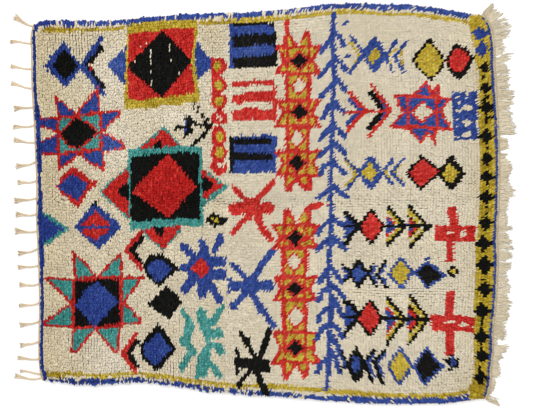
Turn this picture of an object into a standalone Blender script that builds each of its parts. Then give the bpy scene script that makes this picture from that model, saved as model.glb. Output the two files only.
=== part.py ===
"""A Moroccan pile rug lying flat: a knotted wool field, a strip with tasselled cords at its left end,
and a strip with a loose fringe at its right end. The sizes below are millimetres and the model is in
metres, +Z up. The origin is on the floor, at the middle of the box that the whole rug fills. +X runs
along the warps, from the tassels to the fringe.
"""

import math
from collections import namedtuple

import bmesh
import bpy
import numpy as np

MM = 0.001
PLAN_MIDDLE = (-1.9, 0.2)  # the middle, on the plan below, of the box that the whole rug fills

# The pile field
PILE_TOP = 20.0  # mean height of the pile
PILE_LUMP = 2.6  # how far a lump of pile stands above or below the mean
SHOULDER_DROP = 5.0  # the pile is lower along its rim
SHOULDER_INSET = 7.0  # and its top starts this far in from the outline
BELLY_HEIGHT = 9.0  # where the pile reaches furthest out
FOOT_INSET = 4.0  # the ground weave ends this far inside the pile
RIM_LOCK = 6.0  # the locks along the rim stop short by up to this much
CELLS_ALONG = 54
CELLS_ACROSS = 44
LUMP_BLEND = 0.7  # a lump is its own random number and its neighbour's, added and scaled by this
LUMP_SEED = 11

# The woven strips at the two ends
STRIP_GAP = 0.5  # between the field and a strip
STRIP_HEIGHT = 5.0
TASSEL_STRIP_WIDTH = 8.0
FRINGE_STRIP_WIDTH = 12.0
STRIP_POINTS = 44  # points along the inner side of a strip

# Cords and brushes of the tassels
CORD_WIDTH = 6.5
CORD_THICKNESS = 6.0
BRUSH_THICKNESS = 7.0
BRUSH_TIP_THICKNESS = 3.5
CORD_RINGS = (0.25, 0.5, 0.75, 0.97)  # fractions of the cord's run
BRUSH_RINGS = ((0.35, 0.72), (0.75, 0.95), (1.0, 1.0))  # fraction of the brush's run, fraction of its width
CORD_SWAY = 0.02  # share of a cord's run by which it snakes from side to side

# Locks of the fringe
LOCK_PITCH = 10.4
LOCK_SHARE = 0.72  # how much of the pitch the root of a lock takes
LOCK_RINGS = ((0.35, 0.95, 4.2), (0.7, 0.7, 3.4), (1.0, 0.22, 2.0))  # fraction of run, of width, thickness
LOCK_SWAY = 0.04
LOCK_SHORTER = 0.16  # share of its reach by which a lock may be shorter than its clump
LOCK_LONGER = 0.064  # and longer
LOCK_SEED = 5

# Every strand
TOP_NARROWING = 0.62  # the upper side of a strand is narrower than its lower side
HEADING_STEP = 0.01  # half the share of its run over which a strand's heading is taken

# Colours of the undyed wools
CREAM = (0.66, 0.58, 0.43)
TAN = (0.60, 0.45, 0.30)
WARP_WHITE = (0.60, 0.53, 0.39)
PILE_ROUGHNESS = 0.95
YARN_ROUGHNESS = 0.9

Place = namedtuple("Place", "x y")
Crease = namedtuple("Crease", "start end depth width")
Tassel = namedtuple("Tassel", "root_y tip_x tip_y bow brush_long brush_wide")
Clump = namedtuple("Clump", "from_y to_y reach_from reach_mid reach_to lean_from lean_to")

# Outline of the pile, corner to corner. It widens towards the fringe and no side is straight.
TOP_EDGE = [
    Place(-906, 721), Place(-810, 735), Place(-700, 732), Place(-600, 734), Place(-500, 745),
    Place(-350, 755), Place(-130, 763), Place(20, 773), Place(150, 787), Place(278, 801),
    Place(390, 803), Place(480, 797), Place(600, 797), Place(710, 784), Place(810, 766),
    Place(876, 757),
]
BOTTOM_EDGE = [
    Place(-872, -706), Place(-812, -713), Place(-744, -718), Place(-642, -720), Place(-506, -712),
    Place(-438, -717), Place(-370, -725), Place(-234, -748), Place(-98, -761), Place(50, -772),
    Place(270, -790), Place(430, -801), Place(600, -803), Place(740, -800), Place(830, -790),
    Place(888, -781),
]
LEFT_EDGE = [
    Place(-872, -706), Place(-878, -693), Place(-884, -665), Place(-888, -615), Place(-889, -560),
    Place(-886, -430), Place(-888, -305), Place(-891, -215), Place(-898, -65), Place(-898, 95),
    Place(-902, 190), Place(-907, 320), Place(-916, 455), Place(-918, 600), Place(-916, 695),
    Place(-906, 721),
]
RIGHT_EDGE = [
    Place(888, -781), Place(903, -735), Place(910, -645), Place(916, -585), Place(915, -513),
    Place(924, -430), Place(932, -325), Place(935, -233), Place(932, -125), Place(939, 0),
    Place(941, 120), Place(938, 295), Place(930, 430), Place(922, 560), Place(919, 650),
    Place(901, 718), Place(876, 757),
]

# Soft folds left in the pile from when the rug was stored
CREASES = [
    Crease(Place(-250, -5), Place(870, 5), 4.0, 24.0),
    Crease(Place(350, -355), Place(860, -345), 3.0, 22.0),
    Crease(Place(-135, -690), Place(-128, 700), 3.0, 22.0),
    Crease(Place(170, -730), Place(168, 740), 2.5, 22.0),
    Crease(Place(560, -740), Place(590, 740), 2.5, 22.0),
]

# The tasselled cords, from the top down. bow is how far a cord's middle lies above the line to its tip.
TASSELS = [
    Tassel(712, -997, 755, -6, 56, 25),
    Tassel(643, -1010, 648, 3, 42, 13),
    Tassel(542, -1008, 551, -2, 26, 18),
    Tassel(463, -1006, 484, -2, 34, 16),
    Tassel(388, -996, 380, 1, 40, 22),
    Tassel(316, -998, 307, -3, 34, 17),
    Tassel(247, -996, 256, -3, 38, 22),
    Tassel(172, -988, 150, -7, 34, 22),
    Tassel(94, -980, 83, -4, 26, 22),
    Tassel(25, -996, 11, -3, 46, 22),
    Tassel(-40, -988, -43, -5, 34, 22),
    Tassel(-109, -992, -109, -4, 40, 26),
    Tassel(-176, -980, -200, -7, 32, 20),
    Tassel(-246, -980, -257, -2, 36, 18),
    Tassel(-319, -974, -325, -6, 34, 18),
    Tassel(-395, -974, -409, -5, 32, 14),
    Tassel(-469, -972, -488, -4, 34, 18),
    Tassel(-550, -970, -571, -3, 30, 20),
    Tassel(-622, -981, -618, -3, 44, 15),
    Tassel(-684, -969, -671, 2, 16, 12),
    Tassel(-697, -992, -689, -9, 38, 19),
]

# The fringe, clump by clump from the top down. A reach is measured from the strip, and a lean is degrees
# above +X.
CLUMPS = [
    Clump(757, 722, 48, 50, 72, 62, 27),
    Clump(720, 655, 66, 66, 34, 24, 2),
    Clump(653, 594, 26, 36, 20, 6, 4),
    Clump(586, 563, 56, 64, 44, 20, 6),
    Clump(561, 520, 40, 42, 56, 2, 8),
    Clump(518, 482, 50, 48, 38, 6, 0),
    Clump(480, 448, 58, 50, 40, 4, 6),
    Clump(446, 410, 66, 60, 50, 10, 5),
    Clump(408, 374, 48, 58, 36, 6, 0),
    Clump(372, 278, 44, 50, 60, 0, 0),
    Clump(268, 214, 26, 34, 28, -3, 4),
    Clump(206, 184, 28, 20, 16, -12, -5),
    Clump(182, 114, 26, 46, 34, -4, 4),
    Clump(112, 72, 42, 30, 40, 2, 0),
    Clump(70, 16, 38, 56, 28, 2, -2),
    Clump(14, -30, 42, 34, 28, 0, -2),
    Clump(-32, -90, 24, 34, 36, 0, 0),
    Clump(-93, -113, 58, 50, 30, 0, 6),
    Clump(-118, -184, 32, 54, 50, 2, -2),
    Clump(-186, -228, 36, 52, 32, -4, 5),
    Clump(-236, -282, 42, 48, 28, 2, -2),
    Clump(-290, -332, 28, 40, 34, -4, 0),
    Clump(-336, -374, 52, 42, 32, 10, 3),
    Clump(-378, -432, 46, 62, 44, 2, -2),
    Clump(-436, -484, 44, 46, 44, 0, 0),
    Clump(-488, -540, 38, 46, 40, 0, -10),
    Clump(-543, -563, 12, 14, 16, 0, -4),
    Clump(-566, -628, 60, 38, 24, -4, -5),
    Clump(-630, -700, 24, 30, 26, -4, 0),
    Clump(-704, -762, 14, 18, 10, 0, -4),
    Clump(-770, -780, 58, 58, 58, -31, -31),
]


def curve_through(places, fraction):
    """Points on a smooth curve through the places, at fractions 0 to 1 of its run along its longer side."""
    places = np.array(places, float)
    longer = int(np.ptp(places[:, 1]) > np.ptp(places[:, 0]))
    run = places[:, longer]
    slope = np.gradient(places, run, axis=0)
    where = run[0] + (run[-1] - run[0]) * np.asarray(fraction, float)
    way = 1 if run[-1] > run[0] else -1
    piece = np.clip(np.searchsorted(way * run, way * where, side="right") - 1, 0, len(run) - 2)
    step = (run[piece + 1] - run[piece])[..., None]
    s = (where - run[piece])[..., None] / step
    start = (2 * s**3 - 3 * s**2 + 1) * places[piece] + (s**3 - 2 * s**2 + s) * step * slope[piece]
    end = (3 * s**2 - 2 * s**3) * places[piece + 1] + (s**3 - s**2) * step * slope[piece + 1]
    return start + end


def field_point(u, v):
    """Places inside the outline, at fraction u from left to right and v from bottom to top."""
    u, v = np.asarray(u, float), np.asarray(v, float)
    top, bottom = curve_through(TOP_EDGE, u), curve_through(BOTTOM_EDGE, u)
    left, right = curve_through(LEFT_EDGE, v), curve_through(RIGHT_EDGE, v)
    u, v = u[..., None], v[..., None]
    corners = (
        (1 - u) * (1 - v) * np.array(BOTTOM_EDGE[0], float)
        + u * (1 - v) * np.array(BOTTOM_EDGE[-1], float)
        + (1 - u) * v * np.array(TOP_EDGE[0], float)
        + u * v * np.array(TOP_EDGE[-1], float)
    )
    return (1 - v) * bottom + v * top + (1 - u) * left + u * right - corners


def rim_loop():
    """The cells' corners along the rim, anticlockwise from the bottom left, as (column, row)."""
    loop = [(i, 0) for i in range(CELLS_ALONG)]
    loop += [(CELLS_ALONG, j) for j in range(CELLS_ACROSS)]
    loop += [(i, CELLS_ACROSS) for i in range(CELLS_ALONG, 0, -1)]
    loop += [(0, j) for j in range(CELLS_ACROSS, 0, -1)]
    return loop


def inset_fractions(cells, inset, length):
    """Fractions 0 to 1 in equal steps, but with the first and last moved in by the inset."""
    steps = np.linspace(0.0, 1.0, cells + 1)
    steps[0] = inset / length
    steps[-1] = 1.0 - inset / length
    return steps


def field_grid(inset):
    """The places of all the cells' corners, with the rim moved in by the inset."""
    length = RIGHT_EDGE[0].x - LEFT_EDGE[0].x
    width = TOP_EDGE[0].y - BOTTOM_EDGE[0].y
    u = inset_fractions(CELLS_ALONG, inset, length)
    v = inset_fractions(CELLS_ACROSS, inset, width)
    return field_point(*np.meshgrid(u, v, indexing="ij"))


def crease_depth(x, y):
    """How far the creases draw the pile down at a place."""
    depth = np.zeros_like(x)
    for crease in CREASES:
        run = np.array(crease.end, float) - crease.start
        length = np.hypot(*run)
        along = ((x - crease.start.x) * run[0] + (y - crease.start.y) * run[1]) / length
        aside = ((y - crease.start.y) * run[0] - (x - crease.start.x) * run[1]) / length
        past_end = np.maximum(np.maximum(-along, along - length), 0.0)
        depth += crease.depth * np.exp(-(aside**2 + past_end**2) / crease.width**2)
    return depth


def pile_heights(grid):
    """The height of the pile at every cell's corner: lumps, creases and a lower rim."""
    random = np.random.default_rng(LUMP_SEED)
    lumps = random.uniform(-1.0, 1.0, grid.shape[:2])
    softened = (lumps + np.roll(lumps, 1, axis=1)) * LUMP_BLEND
    height = PILE_TOP + PILE_LUMP * np.clip(softened, -1.0, 1.0) - crease_depth(grid[..., 0], grid[..., 1])
    for rim in (height[0], height[-1], height[:, 0], height[:, -1]):
        rim -= SHOULDER_DROP
    return height


def finish_object(name, mesh_builder, material):
    """Turns a mesh builder in millimetres on the plan into a named object in metres about the origin."""
    bmesh.ops.translate(mesh_builder, vec=(-PLAN_MIDDLE[0], -PLAN_MIDDLE[1], 0.0), verts=mesh_builder.verts)
    bmesh.ops.scale(mesh_builder, vec=(MM, MM, MM), verts=mesh_builder.verts)
    bmesh.ops.triangulate(mesh_builder, faces=mesh_builder.faces)
    bmesh.ops.recalc_face_normals(mesh_builder, faces=mesh_builder.faces)
    mesh = bpy.data.meshes.new(name)
    mesh_builder.to_mesh(mesh)
    mesh_builder.free()
    mesh.materials.append(material)
    bpy.context.scene.collection.objects.link(bpy.data.objects.new(name, mesh))


def rug_field(material):
    """The pile with its ground weave: one flat slab with a lumpy top, soft creases and an uneven rim."""
    builder = bmesh.new()
    tops = field_grid(SHOULDER_INSET)
    heights = pile_heights(tops)
    grid = [
        [builder.verts.new((*tops[i, j], heights[i, j])) for j in range(CELLS_ACROSS + 1)]
        for i in range(CELLS_ALONG + 1)
    ]
    for i in range(CELLS_ALONG):
        for j in range(CELLS_ACROSS):
            builder.faces.new((grid[i][j], grid[i + 1][j], grid[i + 1][j + 1], grid[i][j + 1]))

    random = np.random.default_rng(LUMP_SEED)
    loop = rim_loop()
    outline, ground = field_grid(0.0), field_grid(FOOT_INSET)
    belly, foot = [], []
    for i, j in loop:
        x, y = outline[i, j]
        short = RIM_LOCK * random.uniform(0.0, 1.0) if 0 < i < CELLS_ALONG else 0.0
        short *= {0: -1.0, CELLS_ACROSS: 1.0}.get(j, 0.0)
        belly.append(builder.verts.new((x, y - short, BELLY_HEIGHT)))
        foot.append(builder.verts.new((ground[i, j][0], ground[i, j][1] - short, 0.0)))
    rim = [grid[i][j] for i, j in loop]
    for lower, upper in ((foot, belly), (belly, rim)):
        for k in range(len(loop)):
            after = (k + 1) % len(loop)
            builder.faces.new((lower[k], lower[after], upper[after], upper[k]))
    builder.faces.new(list(reversed(foot)))
    finish_object("rug_field", builder, material)


def strand_rings(start, reach, angle, bow, sway, profile):
    """Rings of a strand that lies on the floor. profile rows are a fraction of the run, a width and a
    thickness. Each ring is four points: low left, low right, high right and high left, seen along it."""
    ahead = np.array([math.cos(angle), math.sin(angle)])
    left = np.array([-ahead[1], ahead[0]])

    def centre(s):
        aside = bow * math.sin(math.pi * s) + sway * reach * math.sin(2 * math.pi * s)
        return np.asarray(start) + ahead * reach * s + left * aside

    rings = []
    for s, width, thickness in profile:
        beyond = min(s + HEADING_STEP, 1.0)
        heading = centre(beyond) - centre(beyond - 2 * HEADING_STEP)
        side = np.array([-heading[1], heading[0]]) / np.hypot(*heading) * width / 2
        low_left, low_right = centre(s) + side, centre(s) - side
        high_right, high_left = centre(s) - side * TOP_NARROWING, centre(s) + side * TOP_NARROWING
        rings.append(
            [(*low_left, 0.0), (*low_right, 0.0), (*high_right, thickness), (*high_left, thickness)]
        )
    return rings


def strip_with_strands(name, inner, outer, material):
    """A woven strip standing on the floor, with strands fused to its outer side.
    inner is the side against the field. outer is a list of (place, rings), followed with the strands on
    its left: rings is None, or the rings of the strand whose root runs from that place to the next."""
    builder = bmesh.new()
    places = [place for place, rings in outer] + list(reversed(inner))
    low = [builder.verts.new((*place, 0.0)) for place in places]
    high = [builder.verts.new((*place, STRIP_HEIGHT)) for place in places]
    builder.faces.new(high)
    builder.faces.new(list(reversed(low)))
    for k in range(len(places)):
        after = (k + 1) % len(places)
        root = [low[k], low[after], high[after], high[k]]
        rings = outer[k][1] if k < len(outer) else None
        for ring in rings or []:
            grown = [builder.verts.new(point) for point in ring]
            for a in range(4):
                b = (a + 1) % 4
                builder.faces.new((root[a], root[b], grown[b], grown[a]))
            root = grown
        builder.faces.new(root)
    finish_object(name, builder, material)


def edge_at(edge, y):
    """The x of a side of the field at height y on the plan."""
    fraction = (y - edge[0].y) / (edge[-1].y - edge[0].y)
    return float(curve_through(edge, fraction)[0])


def tassel_end(material):
    """The strip at the left end, with its cords and brushes."""

    def outer_place(y):
        return (edge_at(LEFT_EDGE, y) - STRIP_GAP - TASSEL_STRIP_WIDTH, y)

    heights = np.linspace(LEFT_EDGE[0].y, LEFT_EDGE[-1].y, STRIP_POINTS)
    inner = [(edge_at(LEFT_EDGE, y) - STRIP_GAP, y) for y in heights]
    outer = [(outer_place(heights[0]), None)]
    for tassel in reversed(TASSELS):
        start = outer_place(tassel.root_y)
        run = np.array([tassel.tip_x, tassel.tip_y]) - start
        reach = float(np.hypot(*run))
        cord_share = 1.0 - tassel.brush_long / reach
        profile = [(s * cord_share, CORD_WIDTH, CORD_THICKNESS) for s in CORD_RINGS]
        for s, share in BRUSH_RINGS:
            thinned = max(0.0, 2 * s - 1)  # the outer half of a brush thins towards its tip
            thickness = BRUSH_THICKNESS + (BRUSH_TIP_THICKNESS - BRUSH_THICKNESS) * thinned
            profile.append((cord_share + s * (1 - cord_share), share * tassel.brush_wide, thickness))
        # The cords point to -X, so a bow that lies above the straight line is to their right
        rings = strand_rings(start, reach, math.atan2(run[1], run[0]), -tassel.bow, CORD_SWAY, profile)
        outer.append((outer_place(tassel.root_y - CORD_WIDTH / 2), rings))
        outer.append((outer_place(tassel.root_y + CORD_WIDTH / 2), None))
    outer.append((outer_place(heights[-1]), None))
    strip_with_strands("tassel_end", inner, outer, material)


def clump_locks(clump, random):
    """The locks of a clump from the top down, as (y of the root's middle, reach, lean in degrees)."""
    count = max(1, round((clump.from_y - clump.to_y) / LOCK_PITCH))
    for k in range(count):
        s = (k + 0.5) / count
        y = clump.from_y + (clump.to_y - clump.from_y) * s
        reach = np.interp(s, (0.0, 0.5, 1.0), (clump.reach_from, clump.reach_mid, clump.reach_to))
        reach *= 1.0 + random.uniform(-LOCK_SHORTER, LOCK_LONGER)
        yield y, reach, clump.lean_from + (clump.lean_to - clump.lean_from) * s


def fringe_end(material):
    """The strip at the right end, with its loose locks."""

    def outer_place(y):
        return (edge_at(RIGHT_EDGE, y) + STRIP_GAP + FRINGE_STRIP_WIDTH, y)

    random = np.random.default_rng(LOCK_SEED)
    heights = np.linspace(RIGHT_EDGE[0].y, RIGHT_EDGE[-1].y, STRIP_POINTS)
    inner = [(edge_at(RIGHT_EDGE, y) + STRIP_GAP, y) for y in heights[::-1]]
    outer = [(outer_place(RIGHT_EDGE[-1].y), None)]
    width = LOCK_PITCH * LOCK_SHARE
    for clump in CLUMPS:
        for y, reach, lean in clump_locks(clump, random):
            profile = [(s, share * width, thickness) for s, share, thickness in LOCK_RINGS]
            sway = LOCK_SWAY * random.uniform(-1.0, 1.0)
            rings = strand_rings(outer_place(y), reach, math.radians(lean), 0.0, sway, profile)
            outer.append((outer_place(y + width / 2), rings))
            outer.append((outer_place(y - width / 2), None))
    outer.append((outer_place(RIGHT_EDGE[0].y), None))
    strip_with_strands("fringe_end", inner, outer, material)


def wool(name, colour, roughness):
    """A plain wool material."""
    material = bpy.data.materials.new(name)
    material.use_nodes = True
    shader = material.node_tree.nodes["Principled BSDF"]
    shader.inputs["Base Color"].default_value = (*colour, 1.0)
    shader.inputs["Roughness"].default_value = roughness
    shader.inputs["Metallic"].default_value = 0.0
    return material


def main():
    for found in list(bpy.data.objects):
        bpy.data.objects.remove(found, do_unlink=True)
    rug_field(wool("pile_wool", CREAM, PILE_ROUGHNESS))
    tassel_end(wool("tassel_yarn", TAN, YARN_ROUGHNESS))
    fringe_end(wool("fringe_yarn", WARP_WHITE, YARN_ROUGHNESS))


main()
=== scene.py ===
"""Looks of the Moroccan rug: every knot of the pile in its dyed wool, the ground weave that holds the knots,
the selvedges, the woven strips at the two ends, the tasselled cords and the fringe. The rug lies on the floor
and is seen from straight above. Sizes are millimetres and turn into metres when a mesh is made.

The plan is the one that the solids use: +X runs along the warps from the tassels to the fringe, +Y across.
The motifs are charted on a second grid, in millimetres right and down from CHART_CORNER.
"""

import math
from collections import namedtuple
from functools import partial
from itertools import chain

import bpy
import numpy as np
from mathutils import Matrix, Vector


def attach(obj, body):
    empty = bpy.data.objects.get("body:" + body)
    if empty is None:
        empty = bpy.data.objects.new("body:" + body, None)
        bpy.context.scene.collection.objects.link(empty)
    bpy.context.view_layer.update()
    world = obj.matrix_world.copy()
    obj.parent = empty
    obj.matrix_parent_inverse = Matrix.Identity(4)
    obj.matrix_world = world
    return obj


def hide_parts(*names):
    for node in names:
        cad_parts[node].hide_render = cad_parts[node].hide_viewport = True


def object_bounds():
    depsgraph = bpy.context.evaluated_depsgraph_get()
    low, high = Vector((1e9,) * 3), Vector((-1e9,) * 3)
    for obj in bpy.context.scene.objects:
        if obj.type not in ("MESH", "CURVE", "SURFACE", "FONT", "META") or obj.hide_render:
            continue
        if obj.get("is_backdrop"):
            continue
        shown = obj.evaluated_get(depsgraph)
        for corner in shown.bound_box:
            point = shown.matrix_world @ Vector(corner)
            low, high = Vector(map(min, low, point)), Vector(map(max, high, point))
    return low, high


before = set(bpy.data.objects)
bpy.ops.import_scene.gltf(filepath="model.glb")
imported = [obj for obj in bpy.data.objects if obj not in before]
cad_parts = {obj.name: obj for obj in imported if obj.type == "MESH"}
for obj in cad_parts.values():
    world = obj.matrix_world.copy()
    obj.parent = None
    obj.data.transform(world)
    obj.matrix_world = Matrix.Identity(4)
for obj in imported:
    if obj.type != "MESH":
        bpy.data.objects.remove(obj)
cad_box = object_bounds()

Place = namedtuple("Place", "x y")
Crease = namedtuple("Crease", "start end depth width")
Tassel = namedtuple("Tassel", "root_y tip_x tip_y bow brush_long brush_wide")
Clump = namedtuple("Clump", "from_y to_y reach_from reach_mid reach_to lean_from lean_to")
Star = namedtuple("Star", "centre top bottom left right left_spine right_spine")
Window = namedtuple("Window", "centre reach")
Shades = namedtuple("Shades", "deep usual pale")
Tufts = namedtuple("Tufts", "even places at_left lay parted opened top held tone age")
Legs = namedtuple("Legs", "paths widths depths tones ages dye")

MM = 0.001
PLAN_MIDDLE = (-1.9, 0.2)  # the middle, on the plan, of the box that the whole rug fills
CHART_CORNER = (-1050.0, 815.0)  # the chart's top left corner on the plan

# The view in the photo, straight down
VIEW_MIDDLE = (1066.0, 826.0)  # on the chart
VIEW_WIDTH = 2132.0
CAMERA_LENS = 100.0
CAMERA_SENSOR = 36.0

# Daylight and the floor
WORLD_STRENGTH = 1.1
LAMP_POWER = 180.0
LAMP_SIZE = 3.0
LAMP_PLACE = (-3.0, 3.6, 4.2)
LAMP_TURN = (-42, -33, 0)
FLOOR_HALF = 30.0
FLOOR_SHADE = 0.93
FLOOR_ROUGHNESS = 0.9

# The knots. Each is a tuft of two legs, and what the chart colours is the place where a tuft shows.
COLUMNS = 159
ROWS = 145
LOOK_SEED = 3
KNOT_JITTER = 0.7
CHART_JITTER = 1.5  # how unevenly the dyes meet
PILE_TOP = 20.0
PILE_LUMP = 1.1
TOP_UNEVEN = 0.45
RIM_DROPS = (5.0, 1.6)  # how much lower the outermost tufts are, and the ones next to them
RIM_OUT_LEFT = 1.5  # how far the outermost ones lean out
RIM_OUT_TOP = (  # by column of the chart
    (160, -3), (500, -3), (560, -7), (620, -5), (700, -1), (780, 1), (820, 2), (940, -2), (1480, -2),
    (1560, 1), (1640, -2), (1872, -3),
)
RIM_OUT_BOTTOM = ((160, 1), (220, 0), (300, 4), (500, 2), (800, 0), (1200, -1), (1872, -4))
RIM_UNEVEN = 1.5
LEG_APART = 5.6  # between the two legs of a tuft
LEG_WIDTH = 8.6
LEG_DEPTH = 4.2
LEG_SIDES = 3
LEG_REACH = 23.0  # from root to tip, along the lay
LEG_REACH_VARIES = (-0.14, 0.12)
LEG_PLUMP_VARIES = 0.08
LEG_SHIFT = (2.2, 1.4)  # how unevenly the legs end, at the left and at the right
LEG_TURN = 0.05  # how unevenly the two legs of a tuft point
LEG_STRAY = 0.8
HELD_IN = 10.0  # nearer to the rim than this, a root reaches back less
HELD_LEAST = 0.35
ROOT_HEIGHT = 2.0
# A leg from root to tip: share of its reach from the tuft's place, of its height, and of its width and depth
LEG_PLACES = ((-0.64, 0.0, 0.80), (-0.46, 0.66, 1.00), (0.12, 0.88, 0.96), (0.38, 0.91, 0.0))
TINY = 1e-9
STEEP_HELP = 0.001  # keeps the width of a strand that runs straight up from turning

# Smooth unevenness: the strength, wavelength and seed of each ripple
RIPPLE_WAVES = 7
RIPPLE_LENGTHS = (0.6, 1.7)
LAY_RIPPLES = ((0.7, 140, 21), (0.5, 45, 22))
PARTED_RIPPLES = ((0.05, 90, 23),)
OPENED_RIPPLES = ((0.6, 60, 24),)
TOP_RIPPLES = ((1.0, 170, 31), (0.8, 48, 32))
TONE_RIPPLES = ((0.025, 220, 41), (0.02, 40, 42))
AGE_RIPPLES = ((0.07, 260, 43), (0.05, 60, 44))
# Rows of tufts that stand a little higher: ribs across the left part, wales along the right part
RIB_ACROSS = 6.0  # how much a rib is squeezed across itself
RIB_ALONG = 0.22  # and stretched along itself
RIB_LENGTH = 60
RIB_SEED = 33
WALE_SEED = 34
RIB_HEIGHT = 0.9
WALE_HEIGHT = 0.5
# Painted shade: the ribs and wales are also coloured lighter where they stand higher and darker where they
# sink
RIB_PAINTED_SHADE = 0.05
WALE_PAINTED_SHADE = 0.03
LEFT_PART = (800.0, 150.0)  # where the left part's lay fades, and over what length, on the chart

# Shade: a tone of 1 is plain, and an age of 0, 0.5 and 1 is deep, usual and pale
TONE_UNEVEN = 0.02
TONE_LIMITS = (0.7, 1.25)
LEG_TONE_UNEVEN = 0.035
LEG_AGE_UNEVEN = 0.06
DYED_UNEVEN = 3.0  # dyed wool is so much more uneven than cream
TAN_FROM = 150  # the left edge is yellowed, from here on the chart and over this length
TAN_LENGTH = 160
TAN_AT_EDGE = 0.42
TAN_LEFT_END = 900  # and so is the left part, up to here
TAN_AT_LEFT = 0.12
USUAL_AGE = 0.5

# How the pile leans, as degrees anticlockwise from +X, at columns and rows of the chart
LAY_COLUMNS = (160, 520, 920, 1160, 1320, 1520, 1760, 1940)
LAY_ROWS = {
    80: (285, 262, 262, 250, 235, 218, 208, 222),
    240: (270, 265, 262, 245, 228, 215, 205, 222),
    520: (270, 265, 262, 240, 225, 205, 200, 215),
    800: (270, 262, 250, 225, 205, 200, 195, 205),
    1040: (270, 262, 250, 225, 190, 183, 180, 190),
    1280: (270, 265, 255, 230, 180, 170, 172, 180),
    1480: (275, 275, 262, 240, 150, 135, 135, 150),
}
LAY_SPREAD = math.radians(6)
LAY_UNEVEN = 0.3

# Where the knots part and show dark lines: middle, reach and strength, on the chart
PARTINGS = (
    ((320, 180), (110, 90), 0.8), ((360, 1390), (80, 100), 0.6), ((700, 1460), (120, 50), 0.8),
    ((260, 800), (180, 900), 0.12), ((700, 800), (300, 900), 0.05), ((1760, 1530), (260, 60), 1.2),
)
ROW_PARTINGS = (
    ((1360, 815), (620, 26), 1.0), ((860, 812), (240, 34), 0.7), ((230, 812), (50, 30), 0.7),
    ((1660, 1170), (300, 22), 0.8),
)
# How much parted and opened rows draw the legs together, thin them and shorten them
PARTED_CLOSER = 0.34
PARTED_THINNER = 0.12
OPENED_CLOSER = 0.5
OPENED_SHORTER = (0.1, 0.4)

# Cream legs among dyed ones, where a knot's wool is mixed or pulled: places on the chart
FLECKS = (
    (604, 202), (604, 214), (604, 226), (604, 238), (604, 250), (603, 290), (603, 322), (603, 336),
    (542, 244), (680, 174), (680, 186), (680, 196), (680, 244), (716, 296), (586, 172), (564, 180),
    (356, 260),
)
# Patches of wool worn pale or left deep: middle and reach on the chart, and how much
WORN_PATCHES = (
    ((448, 280), (70, 110), 0.35), ((460, 560), (90, 110), 0.35), ((448, 1440), (90, 90), 0.35),
    ((1010, 200), (40, 60), 0.3), ((700, 470), (80, 30), 0.45), ((860, 130), (60, 70), -0.3),
    ((680, 760), (160, 140), -0.25), ((1936, 900), (60, 900), -0.3), ((1900, 1560), (70, 60), -0.3),
)

# The ground weave, the selvedges and the strips at the ends
GROUND_THICKNESS = 4.0
FOOT_INSET = 4.0  # the ground weave ends this far inside the pile
EDGE_STEPS = 400
SELVEDGE_WIDTH = 7.0
SELVEDGE_SPACING = 4.0
SELVEDGE_TWIST = (1.2, 11.0)  # how far a ply runs from the yarn's middle, and the length of its turn
SELVEDGE_PLY = (0.68, 0.66)  # width and depth of a ply, as shares of the selvedge's width
STRIP_GAP = 0.5
STRIP_HEIGHT = 5.0
STRIP_WAVE = 1.0
STRIP_TONE_UNEVEN = 0.03
WEFT_WIDTH = 1.25  # share of the pitch
WEFT_DEPTH = 0.7  # share of the strip's height
YARN_SIDES = 5
TASSEL_STRIP_WIDTH = 8.0
TASSEL_STRIP_ROWS = 3
LEFT_TWINE = (1.6, 16.0)  # radius and pitch
LEFT_TWINE_OUT = STRIP_GAP + TASSEL_STRIP_WIDTH
FRINGE_STRIP_WIDTH = 12.0
FRINGE_STRIP_ROWS = 5
RIGHT_TWINE = (1.4, 12.0)
RIGHT_TWINE_OUT = 0.9 * FRINGE_STRIP_WIDTH
TWINE_STEPS = 6  # for each turn
TWINE_HEIGHT = 2.0  # share of the twine's radius
TWINE_PLY = (2.3, 2.2)  # width and depth of a ply, as shares of the twine's radius

# Cords and brushes
CORD_HEIGHT = 4.0
CORD_TWIST = (1.9, 17.0)
CORD_PLY = (4.6, 4.2)
CORD_SIDES = 6
CORD_STEPS = 29
CORD_TURNS = (0.0, 6.0)  # radians
INTO_STRIP = 2.0  # how far a cord or a warp end reaches into its strip
CORD_INTO_BRUSH = 0.03
CORD_SWAY = 0.02
CORD_TONE_UNEVEN = 0.03
BRUSH_STRANDS = 40
BRUSH_STEPS = (0.0, 0.35, 0.75, 1.0)
BRUSH_SPREAD = (0.26, 0.42, 0.86, 1.4)
BRUSH_SINK = (0.9, 1.0, 0.8, 0.5)
BRUSH_LEVELS = (1.2, 4.4)  # height of the lowest wisps, and how much higher the highest are
BRUSH_REACH_VARIES = (0.84, 1.04)
BRUSH_STRAY = 0.4
BRUSH_LOOK_BACK = 0.01  # the share of the run over which a wisp takes its heading
BRUSH_LEAD = 10.0  # where the cord starts to loosen, before the brush
BRUSH_BEYOND = 6.0  # wisps past the solid brush
BRUSH_WISP = (2.6, 2.0)
BRUSH_TONE_UNEVEN = 0.04
BRUSH_AGE = 0.6
BRUSH_AGE_UNEVEN = 0.12

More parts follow.
